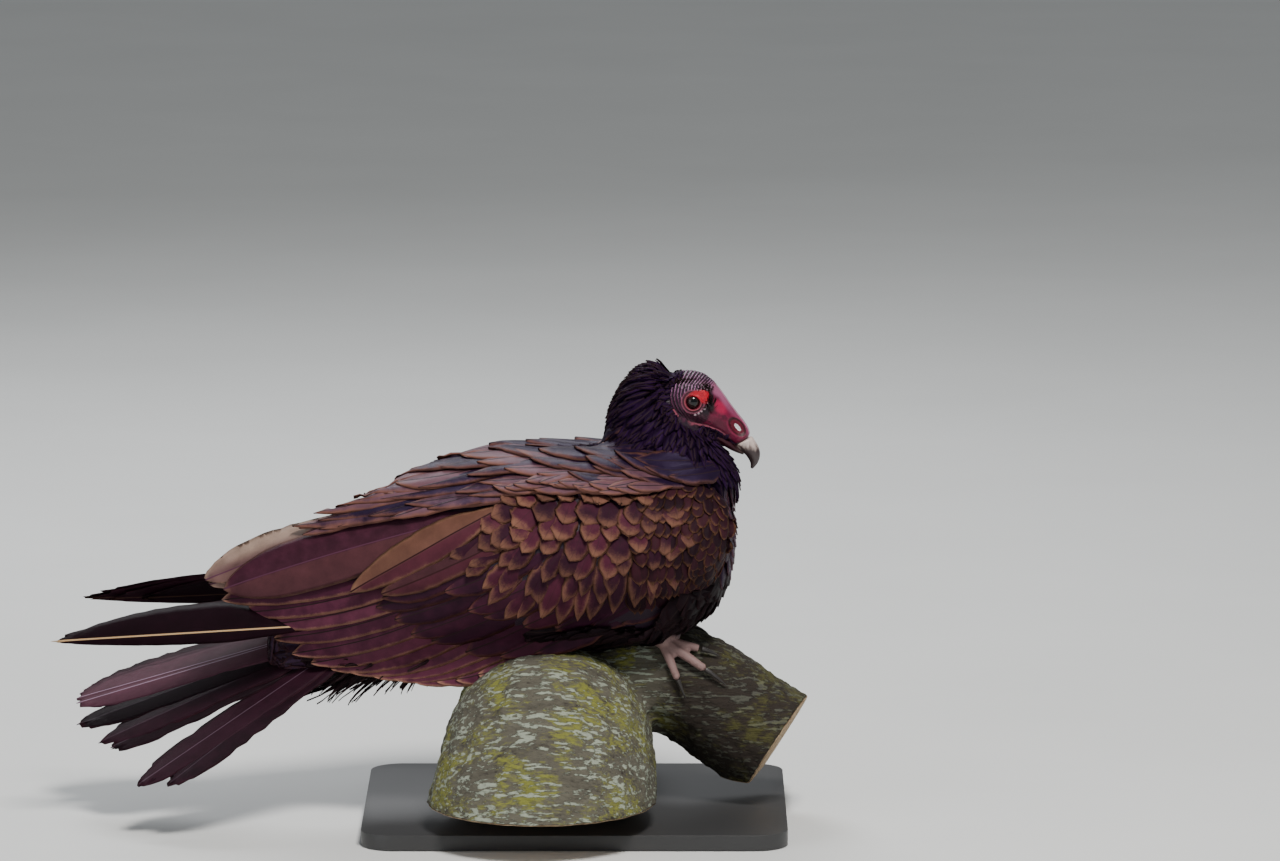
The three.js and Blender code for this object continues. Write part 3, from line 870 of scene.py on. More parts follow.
class HeadMarks:
    """Where each fold and patch of the bare head lies, for its relief and its colours alike."""

    def __init__(self, points, bare):
        ab = side_plane(points)
        self.ab = ab
        self.bare = bare
        self.side = np.abs(points[:, 1])
        self.eye_gap = np.linalg.norm(ab - (EYE[0], EYE[2] - SIDE_SLOPE * (EYE[1] + 3)), axis=1)
        self.eye_side = smoothstep(self.side, 5, 9)
        self.level, self.ridge = wrinkle_pattern(ab)
        fold_gap, above_fold = line_distance(ab, JAW_FOLD)
        self.fold = (1 - smoothstep(fold_gap, 0.35, 1.0)) * self.eye_side
        self.above_fold = np.where(above_fold, smoothstep(fold_gap, 0.3, 1.6), 0)
        culmen_gap, _ = line_distance(ab, CULMEN)
        self.culmen_gap = culmen_gap
        self.brow = np.maximum(blob(ab, (96.5, 411.8), (9.5, 4.2), 8), blob(ab, (102.0, 408.8), (5.0, 5.5))) * self.eye_side
        self.lore = blob(ab, LORE, (3.6, 7.0), 15) * self.eye_side
        self.nostril = blob(ab, NOSTRIL, (10.2, 6.0), -50)
        self.nostril_rim = blob(ab, NOSTRIL, (12.6, 8.2), -50) - self.nostril
        start = np.interp(ab[:, 1], [388, 392, 403, 417], [97, 102, 106.5, 107.5])
        self.muzzle = smoothstep(ab[:, 0] - start, -0.5, 3)
        self.warts = sum(blob(ab, w, (1.05, 0.85)) for w in WARTS) * self.eye_side
        behind = smoothstep(self.eye_gap, 8.2, 9.8) * (1 - self.brow) * (1 - self.lore)
        front_end = 1 - smoothstep(ab[:, 0], np.interp(ab[:, 1], [392, 400, 410, 420], [86, 88, 99, 108]),
                                   np.interp(ab[:, 1], [392, 400, 410, 420], [92, 95, 104, 113]))
        begun = smoothstep(self.level, 0.35, 0.8)
        self.wrinkles = behind * front_end * begun * self.above_fold * bare

    def relief(self, points, normals):
        lift = 0.7 * (self.ridge**1.6 - 0.3) * self.wrinkles
        lift += 0.9 * self.brow + 0.55 * self.warts - 0.9 * self.lore * (1 - self.brow)
        lift += 0.75 * self.fold - 1.1 * (1 - self.above_fold) * smoothstep(self.eye_side, 0.3, 1) * (1 - self.fold)
        lift *= self.bare
        moved = points + normals * lift[:, None]
        side = np.sign(points[:, 1])
        depth = 2.3 * smoothstep(self.nostril, 0.1, 0.95) - 0.5 * self.nostril_rim
        depth = depth * smoothstep(self.side, 2.2, 4.2)
        moved[:, 1] -= side * depth * self.bare
        profile = np.interp(self.eye_gap, [0, 4.6, 5.2, 5.8, 6.5, 7.2, 7.9], [10, 12, 16.0, 17.7, 18.6, 18.4, 17.5])
        lidded = (1 - smoothstep(self.eye_gap, 6.4, 8.4)) * self.eye_side
        ring = 0.45 * np.exp(-(((self.eye_gap - 9.0) / 0.6) ** 2)) * self.eye_side * (1 - self.brow)
        across = np.abs(moved[:, 1]) * (1 - lidded) + profile * lidded + ring * self.bare
        moved[:, 1] = side * across
        return moved

    def colours(self, points):
        def mix(base, colour, amount):
            return base + (np.array(colour) - base) * np.clip(amount, 0, 1)[:, None]

        ab = self.ab
        colour = np.zeros((len(points), 3)) + (0.014, 0.004, 0.014)
        bare = self.bare
        colour = mix(colour, (0.012, 0.0015, 0.009), bare)
        crown = smoothstep(ab[:, 1], 402, 420)[:, None]
        pale = np.array([0.22, 0.03, 0.09]) * (1 - crown) + np.array([0.50, 0.22, 0.42]) * crown
        tops = smoothstep(self.ridge, 0.88, 1.0) * self.wrinkles * (0.40 + 0.60 * crown[:, 0])
        slopes = smoothstep(self.ridge, 0.35, 0.85) * self.wrinkles * 0.7
        colour = mix(colour, (0.040, 0.005, 0.030), slopes)
        colour = colour + (pale - colour) * tops[:, None]
        red = self.muzzle * self.above_fold
        cloud = fractal(points, 0.16)
        fine = fractal(points + 60, 0.55)
        colour = mix(colour, (0.135, 0.003, 0.030), red * bare)
        colour = mix(colour, (0.050, 0.002, 0.016), red * bare * smoothstep(cloud + 0.5 * fine, 0.0, 0.6) * 0.75)
        hot = blob(ab, (113, 402), (7.5, 5.0), -50)
        colour = mix(colour, (0.36, 0.008, 0.055), hot * red * 0.9)
        low_muzzle = blob(ab, (114, 387), (10, 4.5), -35)
        colour = mix(colour, (0.085, 0.003, 0.022), low_muzzle * red * 0.85)
        # Painted highlight along the bridge of the bill: a pale pink band that fades towards the front, brightest in a
        # narrow line on the ridge.
        culmen_highlight = (1 - smoothstep(self.culmen_gap, 1.5, 5.5)) * smoothstep(ab[:, 0], 104, 109) * bare
        colour = mix(colour, (0.36, 0.11, 0.21), culmen_highlight * (0.75 - 0.45 * smoothstep(ab[:, 0], 114, 126)))
        ridge_highlight = (1 - smoothstep(np.abs(self.side - 2.4), 0.3, 1.1)) * culmen_highlight
        colour = mix(colour, (0.66, 0.40, 0.52), ridge_highlight * 0.7)
        forehead = blob(ab, (102, 418.5), (8, 4.2), -34)
        colour = mix(colour, (0.045, 0.020, 0.024), forehead * 0.7 * bare * (1 - 0.6 * tops))
        crown_top = smoothstep(ab[:, 1], 418, 429) * bare * (1 - 0.55 * tops)
        colour = mix(colour, (0.018, 0.005, 0.013), crown_top * 0.75)
        colour = mix(colour, (0.010, 0.003, 0.006), self.lore * 0.95)
        cheek = blob(ab, (95, 393.5), (13, 5.5), -14) * self.eye_side
        colour = mix(colour, (0.022, 0.004, 0.012), cheek * 0.9 * (1 - self.muzzle))
        mottles = 0.5 + 0.5 * np.sin(1.9 * ab[:, 0] + 2.0 * np.sin(1.3 * ab[:, 1])) * np.sin(2.3 * ab[:, 1])
        colour = mix(colour, (0.16, 0.022, 0.065), cheek * mottles**3 * 0.55)
        lids = (1 - smoothstep(self.eye_gap, 6.6, 7.5)) * smoothstep(self.eye_gap, 4.8, 5.4) * self.eye_side
        colour = mix(colour, (0.11, 0.008, 0.020), lids)
        lid_edge = np.exp(-(((self.eye_gap - 6.4) / 0.45) ** 2)) * self.eye_side
        colour = mix(colour, (0.40, 0.09, 0.12), lid_edge * 0.8)
        groove = np.exp(-(((self.eye_gap - 7.7) / 0.55) ** 2)) * self.eye_side
        colour = mix(colour, (0.045, 0.005, 0.014), groove * 0.9)
        ring = np.exp(-(((self.eye_gap - 9.0) / 0.5) ** 2)) * self.eye_side * (1 - self.muzzle)
        colour = mix(colour, (0.36, 0.085, 0.15), ring * 0.75 * (1 - 0.5 * smoothstep(ab[:, 1], 405, 412)))
        hot_brow = smoothstep(self.brow, 0.15, 0.8) * smoothstep(self.eye_gap, 5.2, 6.2)
        colour = mix(colour, (0.46, 0.005, 0.018), hot_brow * (0.7 + 0.3 * smoothstep(fine, -0.4, 0.2)))
        colour = mix(colour, (0.60, 0.42, 0.48), smoothstep(self.warts, 0.3, 0.8) * 0.9)
        colour = mix(colour, (0.36, 0.075, 0.12), self.fold * bare * 0.85)
        # Painted highlight: the raised rim round the nostril is painted bright pink.
        colour = mix(colour, (0.46, 0.030, 0.110), smoothstep(self.nostril_rim, 0.3, 0.9) * bare * 0.65)
        colour = mix(colour, (0.100, 0.0015, 0.014), smoothstep(self.nostril, 0.1, 0.7) * bare)
        # Painted shade: a dark ring on the nostril's inner wall, just inside its edge.
        wall_shade = smoothstep(self.nostril, 0.25, 0.5) * (1 - smoothstep(self.nostril, 0.6, 0.9))
        colour = mix(colour, (0.022, 0.0006, 0.003), wall_shade * bare * 0.9)
        return colour


def cut_nostrils(skin):
    """The nostrils open into one another: a slot right through above the bill."""
    deselect_all()
    bpy.ops.mesh.primitive_cylinder_add(vertices=24, radius=1, depth=0.06, rotation=(math.pi / 2, 0, 0))
    cutter = bpy.context.object
    cutter.scale = (0.0036, 0.0012, 1)
    bpy.ops.object.transform_apply(location=False, rotation=False, scale=True)
    bpy.ops.object.transform_apply(location=False, rotation=True, scale=False)
    cutter.rotation_euler = (0, math.radians(52), 0)
    cutter.location = to_world((NOSTRIL[0] + 0.3, 0, NOSTRIL[1] + 0.6))
    bpy.ops.object.transform_apply(location=True, rotation=True, scale=False)
    apply_modifier(skin, "BOOLEAN", operation="DIFFERENCE", solver="EXACT", object=cutter)
    bpy.data.objects.remove(cutter)


def make_whole(obj):
    """Keeps the largest shell of a mesh and drops the specks, closes its cracks and turns its faces outward."""
    bm = bmesh.new()
    bm.from_mesh(obj.data)
    bmesh.ops.remove_doubles(bm, verts=bm.verts, dist=1e-6)
    unseen, shells = set(bm.verts), []
    while unseen:
        front = [unseen.pop()]
        shell = list(front)
        while front:
            around = [e.other_vert(v) for v in front for e in v.link_edges]
            front = [v for v in set(around) if v in unseen]
            unseen.difference_update(front)
            shell += front
        shells.append(shell)
    largest = max(shells, key=len)
    specks = [v for shell in shells if shell is not largest for v in shell]
    bmesh.ops.delete(bm, geom=specks, context="VERTS")
    bmesh.ops.holes_fill(bm, edges=[e for e in bm.edges if e.is_boundary], sides=0)
    bmesh.ops.recalc_face_normals(bm, faces=bm.faces)
    bm.to_mesh(obj.data)
    bm.free()


def make_skin():
    skin = whole_flesh()
    remesh(skin, 3.0, 3)
    head_tree, foot_tree = node_tree("head"), node_tree("foot_left", "foot_right")
    neck_tree = node_tree("neck")
    points, normals = points_of(skin), normals_of(skin)
    far_from_bare = np.minimum(gap_to(head_tree, points), gap_to(foot_tree, points))
    in_wing = gap_to(node_tree("wing_left", "wing_right"), points) < 1.5
    depth = np.where(in_wing, 3.2, 6.0) * smoothstep(far_from_bare, 1.5, 14)
    move_points(skin, points - normals * depth[:, None])
    remesh(skin, 2.4, 3)
    make_whole(skin)
    points = points_of(skin)
    on_head = (gap_to(head_tree, points) < 1.6) & (points[:, 0] > 66)
    subdivide_where(skin, on_head, 3)
    points = points_of(skin)
    subdivide_where(skin, (gap_to(foot_tree, points) < 4) & (points[:, 2] < 262), 1)
    points = points_of(skin)
    foot_found = [foot_tree.find_nearest(p) for p in points.tolist()]
    foot_gap = np.array([f[3] for f in foot_found])
    snap = (1 - smoothstep(foot_gap, 3.5, 6.0)) * (points[:, 2] < 262)
    points = points + (np.array([f[0] for f in foot_found]) - points) * snap[:, None]
    move_points(skin, points)
    head_gap = gap_to(head_tree, points)
    head_weight = (head_gap < 2.0) & (points[:, 0] > 64)
    smooth_where(skin, head_weight.astype(float), 6)
    points, normals = points_of(skin), normals_of(skin)
    found = [head_tree.find_nearest(p) for p in points.tolist()]
    on_cad = np.array([f[0] for f in found])
    head_gap = np.array([f[3] for f in found])
    neck_gap = gap_to(neck_tree, points)
    bare = smoothstep(neck_gap - head_gap, -0.6, 1.2) * (points[:, 0] > 64) * (head_gap < 4)
    points = points + (on_cad - points) * (0.85 * bare)[:, None]
    move_points(skin, points)
    smooth_where(skin, bare, 5)
    points, normals = points_of(skin), normals_of(skin)
    marks = HeadMarks(points, bare)
    colours = marks.colours(points)
    move_points(skin, marks.relief(points, normals))
    smooth_where(skin, bare * (1 - marks.wrinkles) * 0.5, 1)
    feet = (1 - smoothstep(gap_to(foot_tree, points), 0.8, 2.2))[:, None]
    colours = colours + (np.array([0.25, 0.155, 0.145]) - colours) * feet
    tint = skin.data.attributes.new("Tint", "FLOAT_COLOR", "POINT")
    tint.data.foreach_set("color", np.concatenate([colours, np.ones((len(colours), 1))], 1).astype(np.float32).ravel())
    bareness = skin.data.attributes.new("Bare", "FLOAT", "POINT")
    bareness.data.foreach_set("value", bare.astype(np.float32))

    cut_nostrils(skin)
    make_whole(skin)

    f = Finish("skin, bare and wrinkled on the head", Specular_IOR_Level=0.35)
    place = f.place()
    pores = f.noise(place, 900, 4)
    blotch = f.noise(place, 140, 3)
    shade = 0.72 + 0.35 * pores + 0.25 * blotch
    grey = f.node("ShaderNodeCombineColor", values={0: shade, 1: shade, 2: shade})
    colour = f.mix(1.0, f.attribute("Tint", "Color"), grey, "MULTIPLY")
    cells = f.node("ShaderNodeTexVoronoi", values={"Vector": place, "Scale": 1100})
    material = f.done(
        Base_Color=colour,
        Roughness=0.52 - 0.14 * f.attribute("Bare") + 0.2 * (pores - 0.5),
        Normal=f.bump(pores + 0.6 * cells + 0.5 * blotch, 0.5, 0.0006),
    )
    return finish_piece(skin, "bare_skin", material, *FLESH)


# ---- Eyes, bill and claws ----------------------------------------------------------------------------------


def make_eyes():
    f = Finish("dark wet eye", Roughness=0.08, Coat_Weight=0.3, Coat_Roughness=0.02, Specular_IOR_Level=0.3)
    place = f.node("ShaderNodeSeparateXYZ", values={0: f.place()})
    y = Wire(f, place.socket.node.outputs[1])
    z = Wire(f, place.socket.node.outputs[2])
    centre = to_world(EYE)
    radius = EYE_RADIUS * MM
    along_x = (place - centre[0] - 0.0006) / radius
    along_z = (z - centre[2] - 0.0002) / radius
    off_axis = (along_x * along_x + along_z * along_z) ** 0.5
    fibre = f.noise(f.place(), 900, 4)
    iris = f.mix(fibre, (0.012, 0.005, 0.005), (0.026, 0.011, 0.009))
    outward = f.step(abs(y), 0.012, 0.014)
    pupil = 1 - f.step(off_axis, 0.40, 0.46)
    rim = f.step(off_axis, 0.74, 0.82)
    colour = f.mix(rim, iris, (0.010, 0.006, 0.008))
    colour = f.mix(pupil * outward, colour, (0.002, 0.002, 0.003))
    material = f.done(Base_Color=colour)
    for side, name in ((1, "left"), (-1, "right")):
        deselect_all()
        place_at = to_world(EYE * (1, side, 1))
        bpy.ops.mesh.primitive_uv_sphere_add(segments=48, ring_count=28, radius=radius, location=place_at)
        ball = bpy.context.object
        ball.name = "eyeball_" + name
        bpy.ops.object.transform_apply(location=True, rotation=True, scale=True)
        finish_piece(ball, "eye", material, "eye_" + name)


def make_bill():
    f = Finish("bill horn", Specular_IOR_Level=0.5, Coat_Weight=0.25, Coat_Roughness=0.2)
    place = f.place()
    parts = f.node("ShaderNodeSeparateXYZ", values={0: place})
    z = Wire(f, parts.socket.node.outputs[2])
    down = (0.3045 - z) * 1000  # millimetres below the cere's upper corner
    streak = f.noise(f.stretched(place, (260, 500, 90)), 1.0, 4, 0.6)
    cloud = f.noise(place, 170, 4)
    ivory = f.mix(cloud, (0.50, 0.37, 0.32), (0.70, 0.60, 0.56))
    stained = f.mix(f.step(streak, 0.36, 0.62), ivory, (0.085, 0.036, 0.034))
    toward_tip = f.step(down + 8 * (streak - 0.5), 8, 15)
    colour = f.mix(f.step(down + 9 * (cloud - 0.5), 6, 13), ivory, stained)
    colour = f.mix(toward_tip, colour, (0.036, 0.020, 0.021))
    material = f.done(
        Base_Color=colour, Roughness=0.30 + 0.3 * streak, Normal=f.bump(streak + 0.4 * cloud, 0.3, 0.0003)
    )
    upper = welded_copy("bill_hook", "bill_upper")
    remesh(upper, 0.55, 8, 0.6)
    move_points(upper, points_of(upper) + 0.4 * normals_of(upper))
    finish_piece(upper, "bill_horn", material, "bill_upper")

    f = Finish("dark red lower bill", Specular_IOR_Level=0.25)
    place = f.place()
    parts = f.node("ShaderNodeSeparateXYZ", values={0: place})
    streak = f.noise(f.stretched(place, (150, 700, 700)), 1.0, 4)
    colour = f.mix(streak, (0.014, 0.002, 0.005), (0.045, 0.004, 0.012))
    colour = f.mix(f.step(parts * 1000 + 5 * streak, 125, 133), colour, (0.05, 0.03, 0.028))
    material = f.done(Base_Color=colour, Roughness=0.38 + 0.2 * streak, Normal=f.bump(streak, 0.3, 0.0003))
    lower = welded_copy("bill_under", "bill_lower")
    remesh(lower, 0.6, 6, 0.6)
    finish_piece(lower, "bill_horn", material, "bill_lower")


def make_claws():
    f = Finish("black claw horn", Specular_IOR_Level=0.5)
    grain = f.noise(f.stretched(f.place(), (400, 400, 1200)), 1.0, 4)
    colour = f.mix(grain, (0.010, 0.009, 0.009), (0.05, 0.042, 0.04))
    material = f.done(Base_Color=colour, Roughness=0.28 + 0.25 * grain, Normal=f.bump(grain, 0.25, 0.0002))
    names = [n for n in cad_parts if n.startswith("claw_")]
    claws = welded_copy("claws", *names)
    remesh(claws, 0.5, 4)
    finish_piece(claws, "claw_horn", material, *names)


# ---- Perch and stand ---------------------------------------------------------------------------------------


def make_perch():
    bark = welded_copy("bough", "perch")
    remesh(bark, 2.6, 2)
    points, normals = points_of(bark), normals_of(bark)
    feet = np.minimum.reduce([np.linalg.norm(points - c, axis=1) for c in ((66, -34, 225), (62, 52, 222))])
    ridges = fractal(points, np.array([0.09, 0.03, 0.09]))
    knots = fractal(points + 400, np.array([0.022, 0.016, 0.022]))
    flakes = fractal(points + 900, np.array([0.28, 0.12, 0.28]))
    sawn = sawn_ends(points)
    depth = 1.5 * (np.abs(ridges) ** 0.7) + 2.4 * smoothstep(knots, 0.0, 0.6) + 0.8 * np.abs(flakes)
    depth *= (1 - sawn) * (0.25 + 0.75 * smoothstep(feet, 30, 60))
    move_points(bark, points - normals * depth[:, None])
    axis = unit(np.array([0.834, -0.152, -0.531]))
    off = points - (152, -1.4, 136)
    ring = np.linalg.norm(off - (off @ axis)[:, None] * axis, axis=1)
    far = points[:, 1] > 140
    ring[far] = np.hypot(points[far, 0] + 15, points[far, 2] - 148)
    rings = bark.data.attributes.new("Ring", "FLOAT", "POINT")
    rings.data.foreach_set("value", ring.astype(np.float32))
    end = bark.data.attributes.new("Sawn", "FLOAT", "POINT")
    end.data.foreach_set("value", sawn.astype(np.float32))

    f = Finish("mossy bark", Specular_IOR_Level=0.3)
    place = f.place()
    across = f.stretched(place, (0.4, 1.1, 1.3))
    coarse = f.noise(across, 55, 6, 0.62)
    fine = f.noise(across, 300, 5, 0.65)
    dashes = f.noise(f.stretched(place, (0.30, 1.3, 1.9)), 170, 5, 0.62)
    moss_map = f.noise(place, 24, 5, 0.6)
    parts = f.node("ShaderNodeSeparateXYZ", values={0: place})
    fork = f.step(parts, 0.055, 0.085)
    colour = f.mix(coarse, (0.034, 0.027, 0.023), (0.19, 0.18, 0.135))
    colour = f.mix(fork * 0.92, colour, (0.022, 0.015, 0.012))
    moss = f.mix(fine, (0.11, 0.115, 0.020), (0.33, 0.34, 0.055))
    moss_share = f.step(moss_map + 0.6 * (fine - 0.5), 0.46, 0.62) * (1 - 0.75 * fork)
    colour = f.mix(moss_share * 0.8, colour, moss)
    lichen = f.step(dashes + 0.45 * (coarse - 0.5) + 0.3 * (fine - 0.5), 0.53, 0.58)
    colour = f.mix(lichen * (1 - 0.84 * fork) * 0.85, colour, (0.36, 0.40, 0.32))
    pits = 1 - f.step(fine + 0.6 * coarse, 0.50, 0.72)
    colour = f.mix(pits * 0.8, colour, (0.022, 0.015, 0.013))
    ring = f.attribute("Ring")
    rings = 0.5 + 0.5 * f.node("ShaderNodeMath", {"operation": "SINE"}, {0: ring * 2.1 + coarse * 5})
    wood = f.mix(rings, (0.30, 0.20, 0.12), (0.47, 0.35, 0.22))
    sawn_mask = f.step(f.attribute("Sawn"), 0.4, 0.8)
    colour = f.mix(sawn_mask, colour, wood)
    height = (coarse + 0.8 * fine + 0.35 * lichen) * (1 - 0.8 * sawn_mask) + 0.1 * rings
    material = f.done(Base_Color=colour, Roughness=0.82 + 0.15 * fine, Normal=f.bump(height, 0.95, 0.0030))
    finish_piece(bark, "bark", material, "perch")


def sawn_ends(points):
    """1 on the three flat cuts: the bough's far end, the fork's end and the underside."""
    far = smoothstep(points[:, 1], 147.5, 149)
    fork_end = (points - (158, -2, 134)) @ np.array([0.834, -0.152, -0.531])
    under = 1 - smoothstep(points[:, 2], 108.8, 110)
    return np.maximum.reduce([far, smoothstep(fork_end, -2, -0.6), under])


def make_stand():
    f = Finish("satin dark grey paint", Specular_IOR_Level=0.5)
    place = f.place()
    peel = f.noise(place, 420, 3)
    cloud = f.noise(place, 9, 4)
    colour = f.mix(cloud, (0.030, 0.030, 0.031), (0.045, 0.045, 0.046))
    material = f.done(Base_Color=colour, Roughness=0.38 + 0.12 * cloud, Normal=f.bump(peel, 0.12, 0.0002))
    for piece, node in (("base_plate", "stand_base"), ("rod_front", "stand_rod_front"), ("rod_back", "stand_rod_back")):
        obj = welded_copy(piece, node)
        apply_modifier(obj, "BEVEL", width=0.0012, segments=3, limit_method="ANGLE", angle_limit=math.radians(40))
        finish_piece(obj, "stand_paint", material, node)
        focus(obj)
        bpy.ops.object.shade_smooth_by_angle(angle=math.radians(35))


# ---- The coat ----------------------------------------------------------------------------------------------


def spread(line, count, jitter=0.0):
    """Points evenly along a broken line, a little off it."""
    line = np.array(line, float)
    steps = np.linalg.norm(np.diff(line, axis=0), axis=1)
    run = np.concatenate([[0], np.cumsum(steps)]) / steps.sum()
    t = np.linspace(0, 1, count)
    points = np.stack([np.interp(t, run, line[:, k]) for k in (0, 1)], 1)
    return points + rng.normal(size=points.shape) * jitter


def spines_to(tips, directions, lengths, bend=0.0):
    """Spines ending at these tips. directions are degrees below a line running straight back."""
    angle = np.radians(np.broadcast_to(directions, len(tips)))
    heading = np.stack([-np.cos(angle), -np.sin(angle)], 1)
    length = np.broadcast_to(np.asarray(lengths, float), len(tips))[:, None]
    roots = tips - heading * length
    middle = (tips + roots) / 2 + np.stack([-heading[:, 1], heading[:, 0]], 1) * np.reshape(bend, (-1, 1))
    return np.stack([roots, middle, tips], 1)


def covert_direction(tips):
    """Coverts point down at the wrist and swing back towards the tail."""
    return np.interp(tips[:, 0], [-115, -75, -30, 20, 65, 120], [20, 42, 64, 78, 88, 96])


def make_wing_coverts(relief):
    coat = Coat()
    rows = [
        ([(-69.4, 247.1), (-35.1, 236.1), (19.5, 238.4), (58.5, 249.5)], 10, 46, 16, 0.6, 0.6),
        ([(-75.7, 262.9), (-35.1, 251.9), (19.5, 251.9), (69.4, 262.1)], 11, 42, 17, 0.75, 0.7),
        ([(-78.8, 278.7), (-35.1, 266.9), (19.5, 266.9), (75.7, 276.4)], 10, 38, 18, 0.85, 0.9),
        ([(-85.0, 292.2), (-35.1, 283.5), (19.5, 281.1), (78.8, 290.6)], 10, 36, 20, 1.0, 1.0),
        ([(-78.8, 304.8), (-35.1, 298.5), (27.3, 296.1), (75.7, 304.8)], 10, 34, 21, 1.0, 1.1),
        ([(-72.5, 317.4), (-27.3, 314.3), (27.3, 311.1), (69.4, 317.4)], 9, 32, 20, 1.0, 1.2),
        ([(-56.9, 328.5), (-11.7, 326.9), (50.7, 325.3)], 8, 26, 19, 1.0, 1.2),
    ]
    for k, (line, count, length, width, roundness, stand) in enumerate(rows):
        tips = spread(line, count, 2.2)
        if k % 2:
            tips = tips + (tips[1] - tips[0]) / 2
        turn = covert_direction(tips) + rng.normal(0, 7, count)
        side_feathers(
            coat, relief, spines_to(tips, turn, length, rng.normal(1.5, 1.2, count)), width * rng.normal(1, 0.1, count),
            roundness, root_depth=6.5, tip_lift=stand + rng.uniform(-0.3, 0.9), roll=rng.choice([-1, 1]) * 1.4,
            camber=2.4, rows=13, cols=7, ragged=0.045, size=0.016, wrap=True,
        )
    extra = np.array([(-113.1, 292.9), (-95.9, 284.3), (-83.5, 270.0)])
    side_feathers(
        coat, relief, spines_to(extra, [24, 38, 50], [50, 44, 40], 2.0), [21, 20, 17], 0.9, 6.5, 1.2, camber=2.0,
        rows=13, cols=7, size=0.016, wrap=True,
    )
    return coat.build("median_and_lesser_coverts")


def make_marginal_coverts(relief):
    coat = Coat()
    heights = [612, 597, 582, 567, 552, 538, 524, 511, 499]
    for row, height in enumerate(heights):
        count = 12
        tips = spread([(47.6, 723.5), (125.6, 723.5)], count, 0.0)
        tips[:, 0] = 47.6 + (tips[:, 0] - 47.6) * (0.58 if row == 0 else 0.72 if row == 1 else 0.88 if row == 2 else 1.0)
        tips[:, 1] = 723.5 - 0.79 * (height - 5 * np.linspace(0, 1, count) ** 2 * (row < 7))
        tips += rng.normal(size=tips.shape) * 0.8 + (4.0 if row % 2 else 0.0, 0)
        side_feathers(
            coat, relief, spines_to(tips, 90 + rng.normal(0, 5, count), 26, -1.6), 12.5, 0.85, root_depth=4.5,
            tip_lift=0.8, roll=1.6, camber=1.2, rows=9, cols=5, ragged=0.035, size=0.012, wrap=True,
        )
    return coat.build("marginal_coverts")


def make_greater_coverts(relief):
    coat = Coat()
    low = np.array([(-154.4, 244.8), (-139.6, 234.5), (-127.1, 222.6), (-110.8, 217.1), (-85.0, 208.4), (-58.5, 206.0), (-31.2, 208.4)])
    high = np.array([(-149.0, 252.7), (-100.6, 257.4), (-81.9, 242.4), (-70.2, 237.6), (-39.8, 229.8), (-14.8, 226.6), (11.7, 227.4), (36.7, 232.1)])
    for tips, lengths, width, lift in ((low, 120, 25, -1.6), (high, 105, 24, -0.6)):
        slope = np.interp(tips[:, 0], [-155, -60, 40], [22, 28, 40])
        side_feathers(
            coat, relief, spines_to(tips, slope, lengths, 9.0), width, 0.8, root_depth=5, tip_lift=-0.2, roll=3.4,
            camber=1.6, rows=15, cols=7, ragged=0.03, size=0.03, upper_share=0.5, lift=lift,
        )
    return coat.build("greater_coverts")


def make_secondaries(relief):
    coat = Coat()
    tips = spread([(-275.3, 248.7), (-267.5, 242.4), (-255.8, 236.1), (-234.8, 218.7), (-212.9, 201.3), (-187.2, 194.2), (-161.5, 190.2), (-132.6, 186.3), (-97.5, 186.3), (-58.5, 195.8)], 15, 0.6)
    roots = spread([(-27.3, 328.5), (3.9, 304.8), (27.3, 281.1), (19.5, 259.0), (-3.9, 240.0)], 15, 0.5)
    bends = np.stack([tips[:, 0] + 0.52 * (roots[:, 0] - tips[:, 0]), tips[:, 1] + 0.10 * (roots[:, 1] - tips[:, 1])], 1)
    spines = np.stack([roots, bends, tips], 1)[::-1]
    side_feathers(
        coat, relief, spines, 26, 0.8, root_depth=9, tip_lift=-0.5, roll=5.0, camber=1.2, rows=26, cols=9,
        ragged=0.02, size=0.03, upper_share=0.6, lift=-1.0,
    )
    return coat.build("secondaries")


def make_tertials(relief):
    coat = Coat()
    spines = np.array([
        [(-89.7, 322.2), (-197.3, 308.0), (-287.8, 265.3)],
        [(-58.5, 322.2), (-161.5, 296.9), (-273.0, 259.0)],
    ])
    # Painted highlight: the first tertial is painted pale, most on its upper vane and less at its tip, and the far
    # wing's tertials pale all over, where light from above falls on them.
    pale = np.zeros((2, 30, 13))
    pale[0] = 0.30 + 0.6 * smoothstep(-np.linspace(-1, 1, 13), 0.1, 0.9) * (1 - 0.6 * smoothstep(stations(30), 0.8, 1))[:, None]
    side_feathers(
        coat, relief, spines, [36, 45], [0.75, 0.9], root_depth=4.5, tip_lift=0.8, roll=2.0, camber=1.5,
        rows=30, cols=13, ragged=0.012, size=0.12, upper_share=0.48,
        bleach=pale, left_bleach_and_highlight=np.maximum(pale, np.array([0.5, 0.6]).reshape(-1, 1, 1)),
        tone=np.array([0.6, 0.5]), lift=np.array([-2.0, 0.6]), drop=15,
    )
    return coat.build("tertials")


def make_tan_covert(relief):
    """The innermost greater covert, worn pale along its upper vane."""
    coat = Coat()
    spines = np.array([[(-58.5, 322.2), (-105.3, 295.3), (-172.4, 257.4)], [(-42.9, 304.8), (-89.7, 277.1), (-149.0, 255.8)]])
    side_feathers(
        coat, relief, spines, [29, 24], [0.7, 0.8], root_depth=4, tip_lift=1.2, roll=1.0, camber=2.6, rows=26, cols=11,
        ragged=0.03, size=0.05, upper_share=0.55, tone=np.array([0.9, 0.2]), lift=np.array([2.4, 1.0]),
    )
    return coat.build("tan_covert")


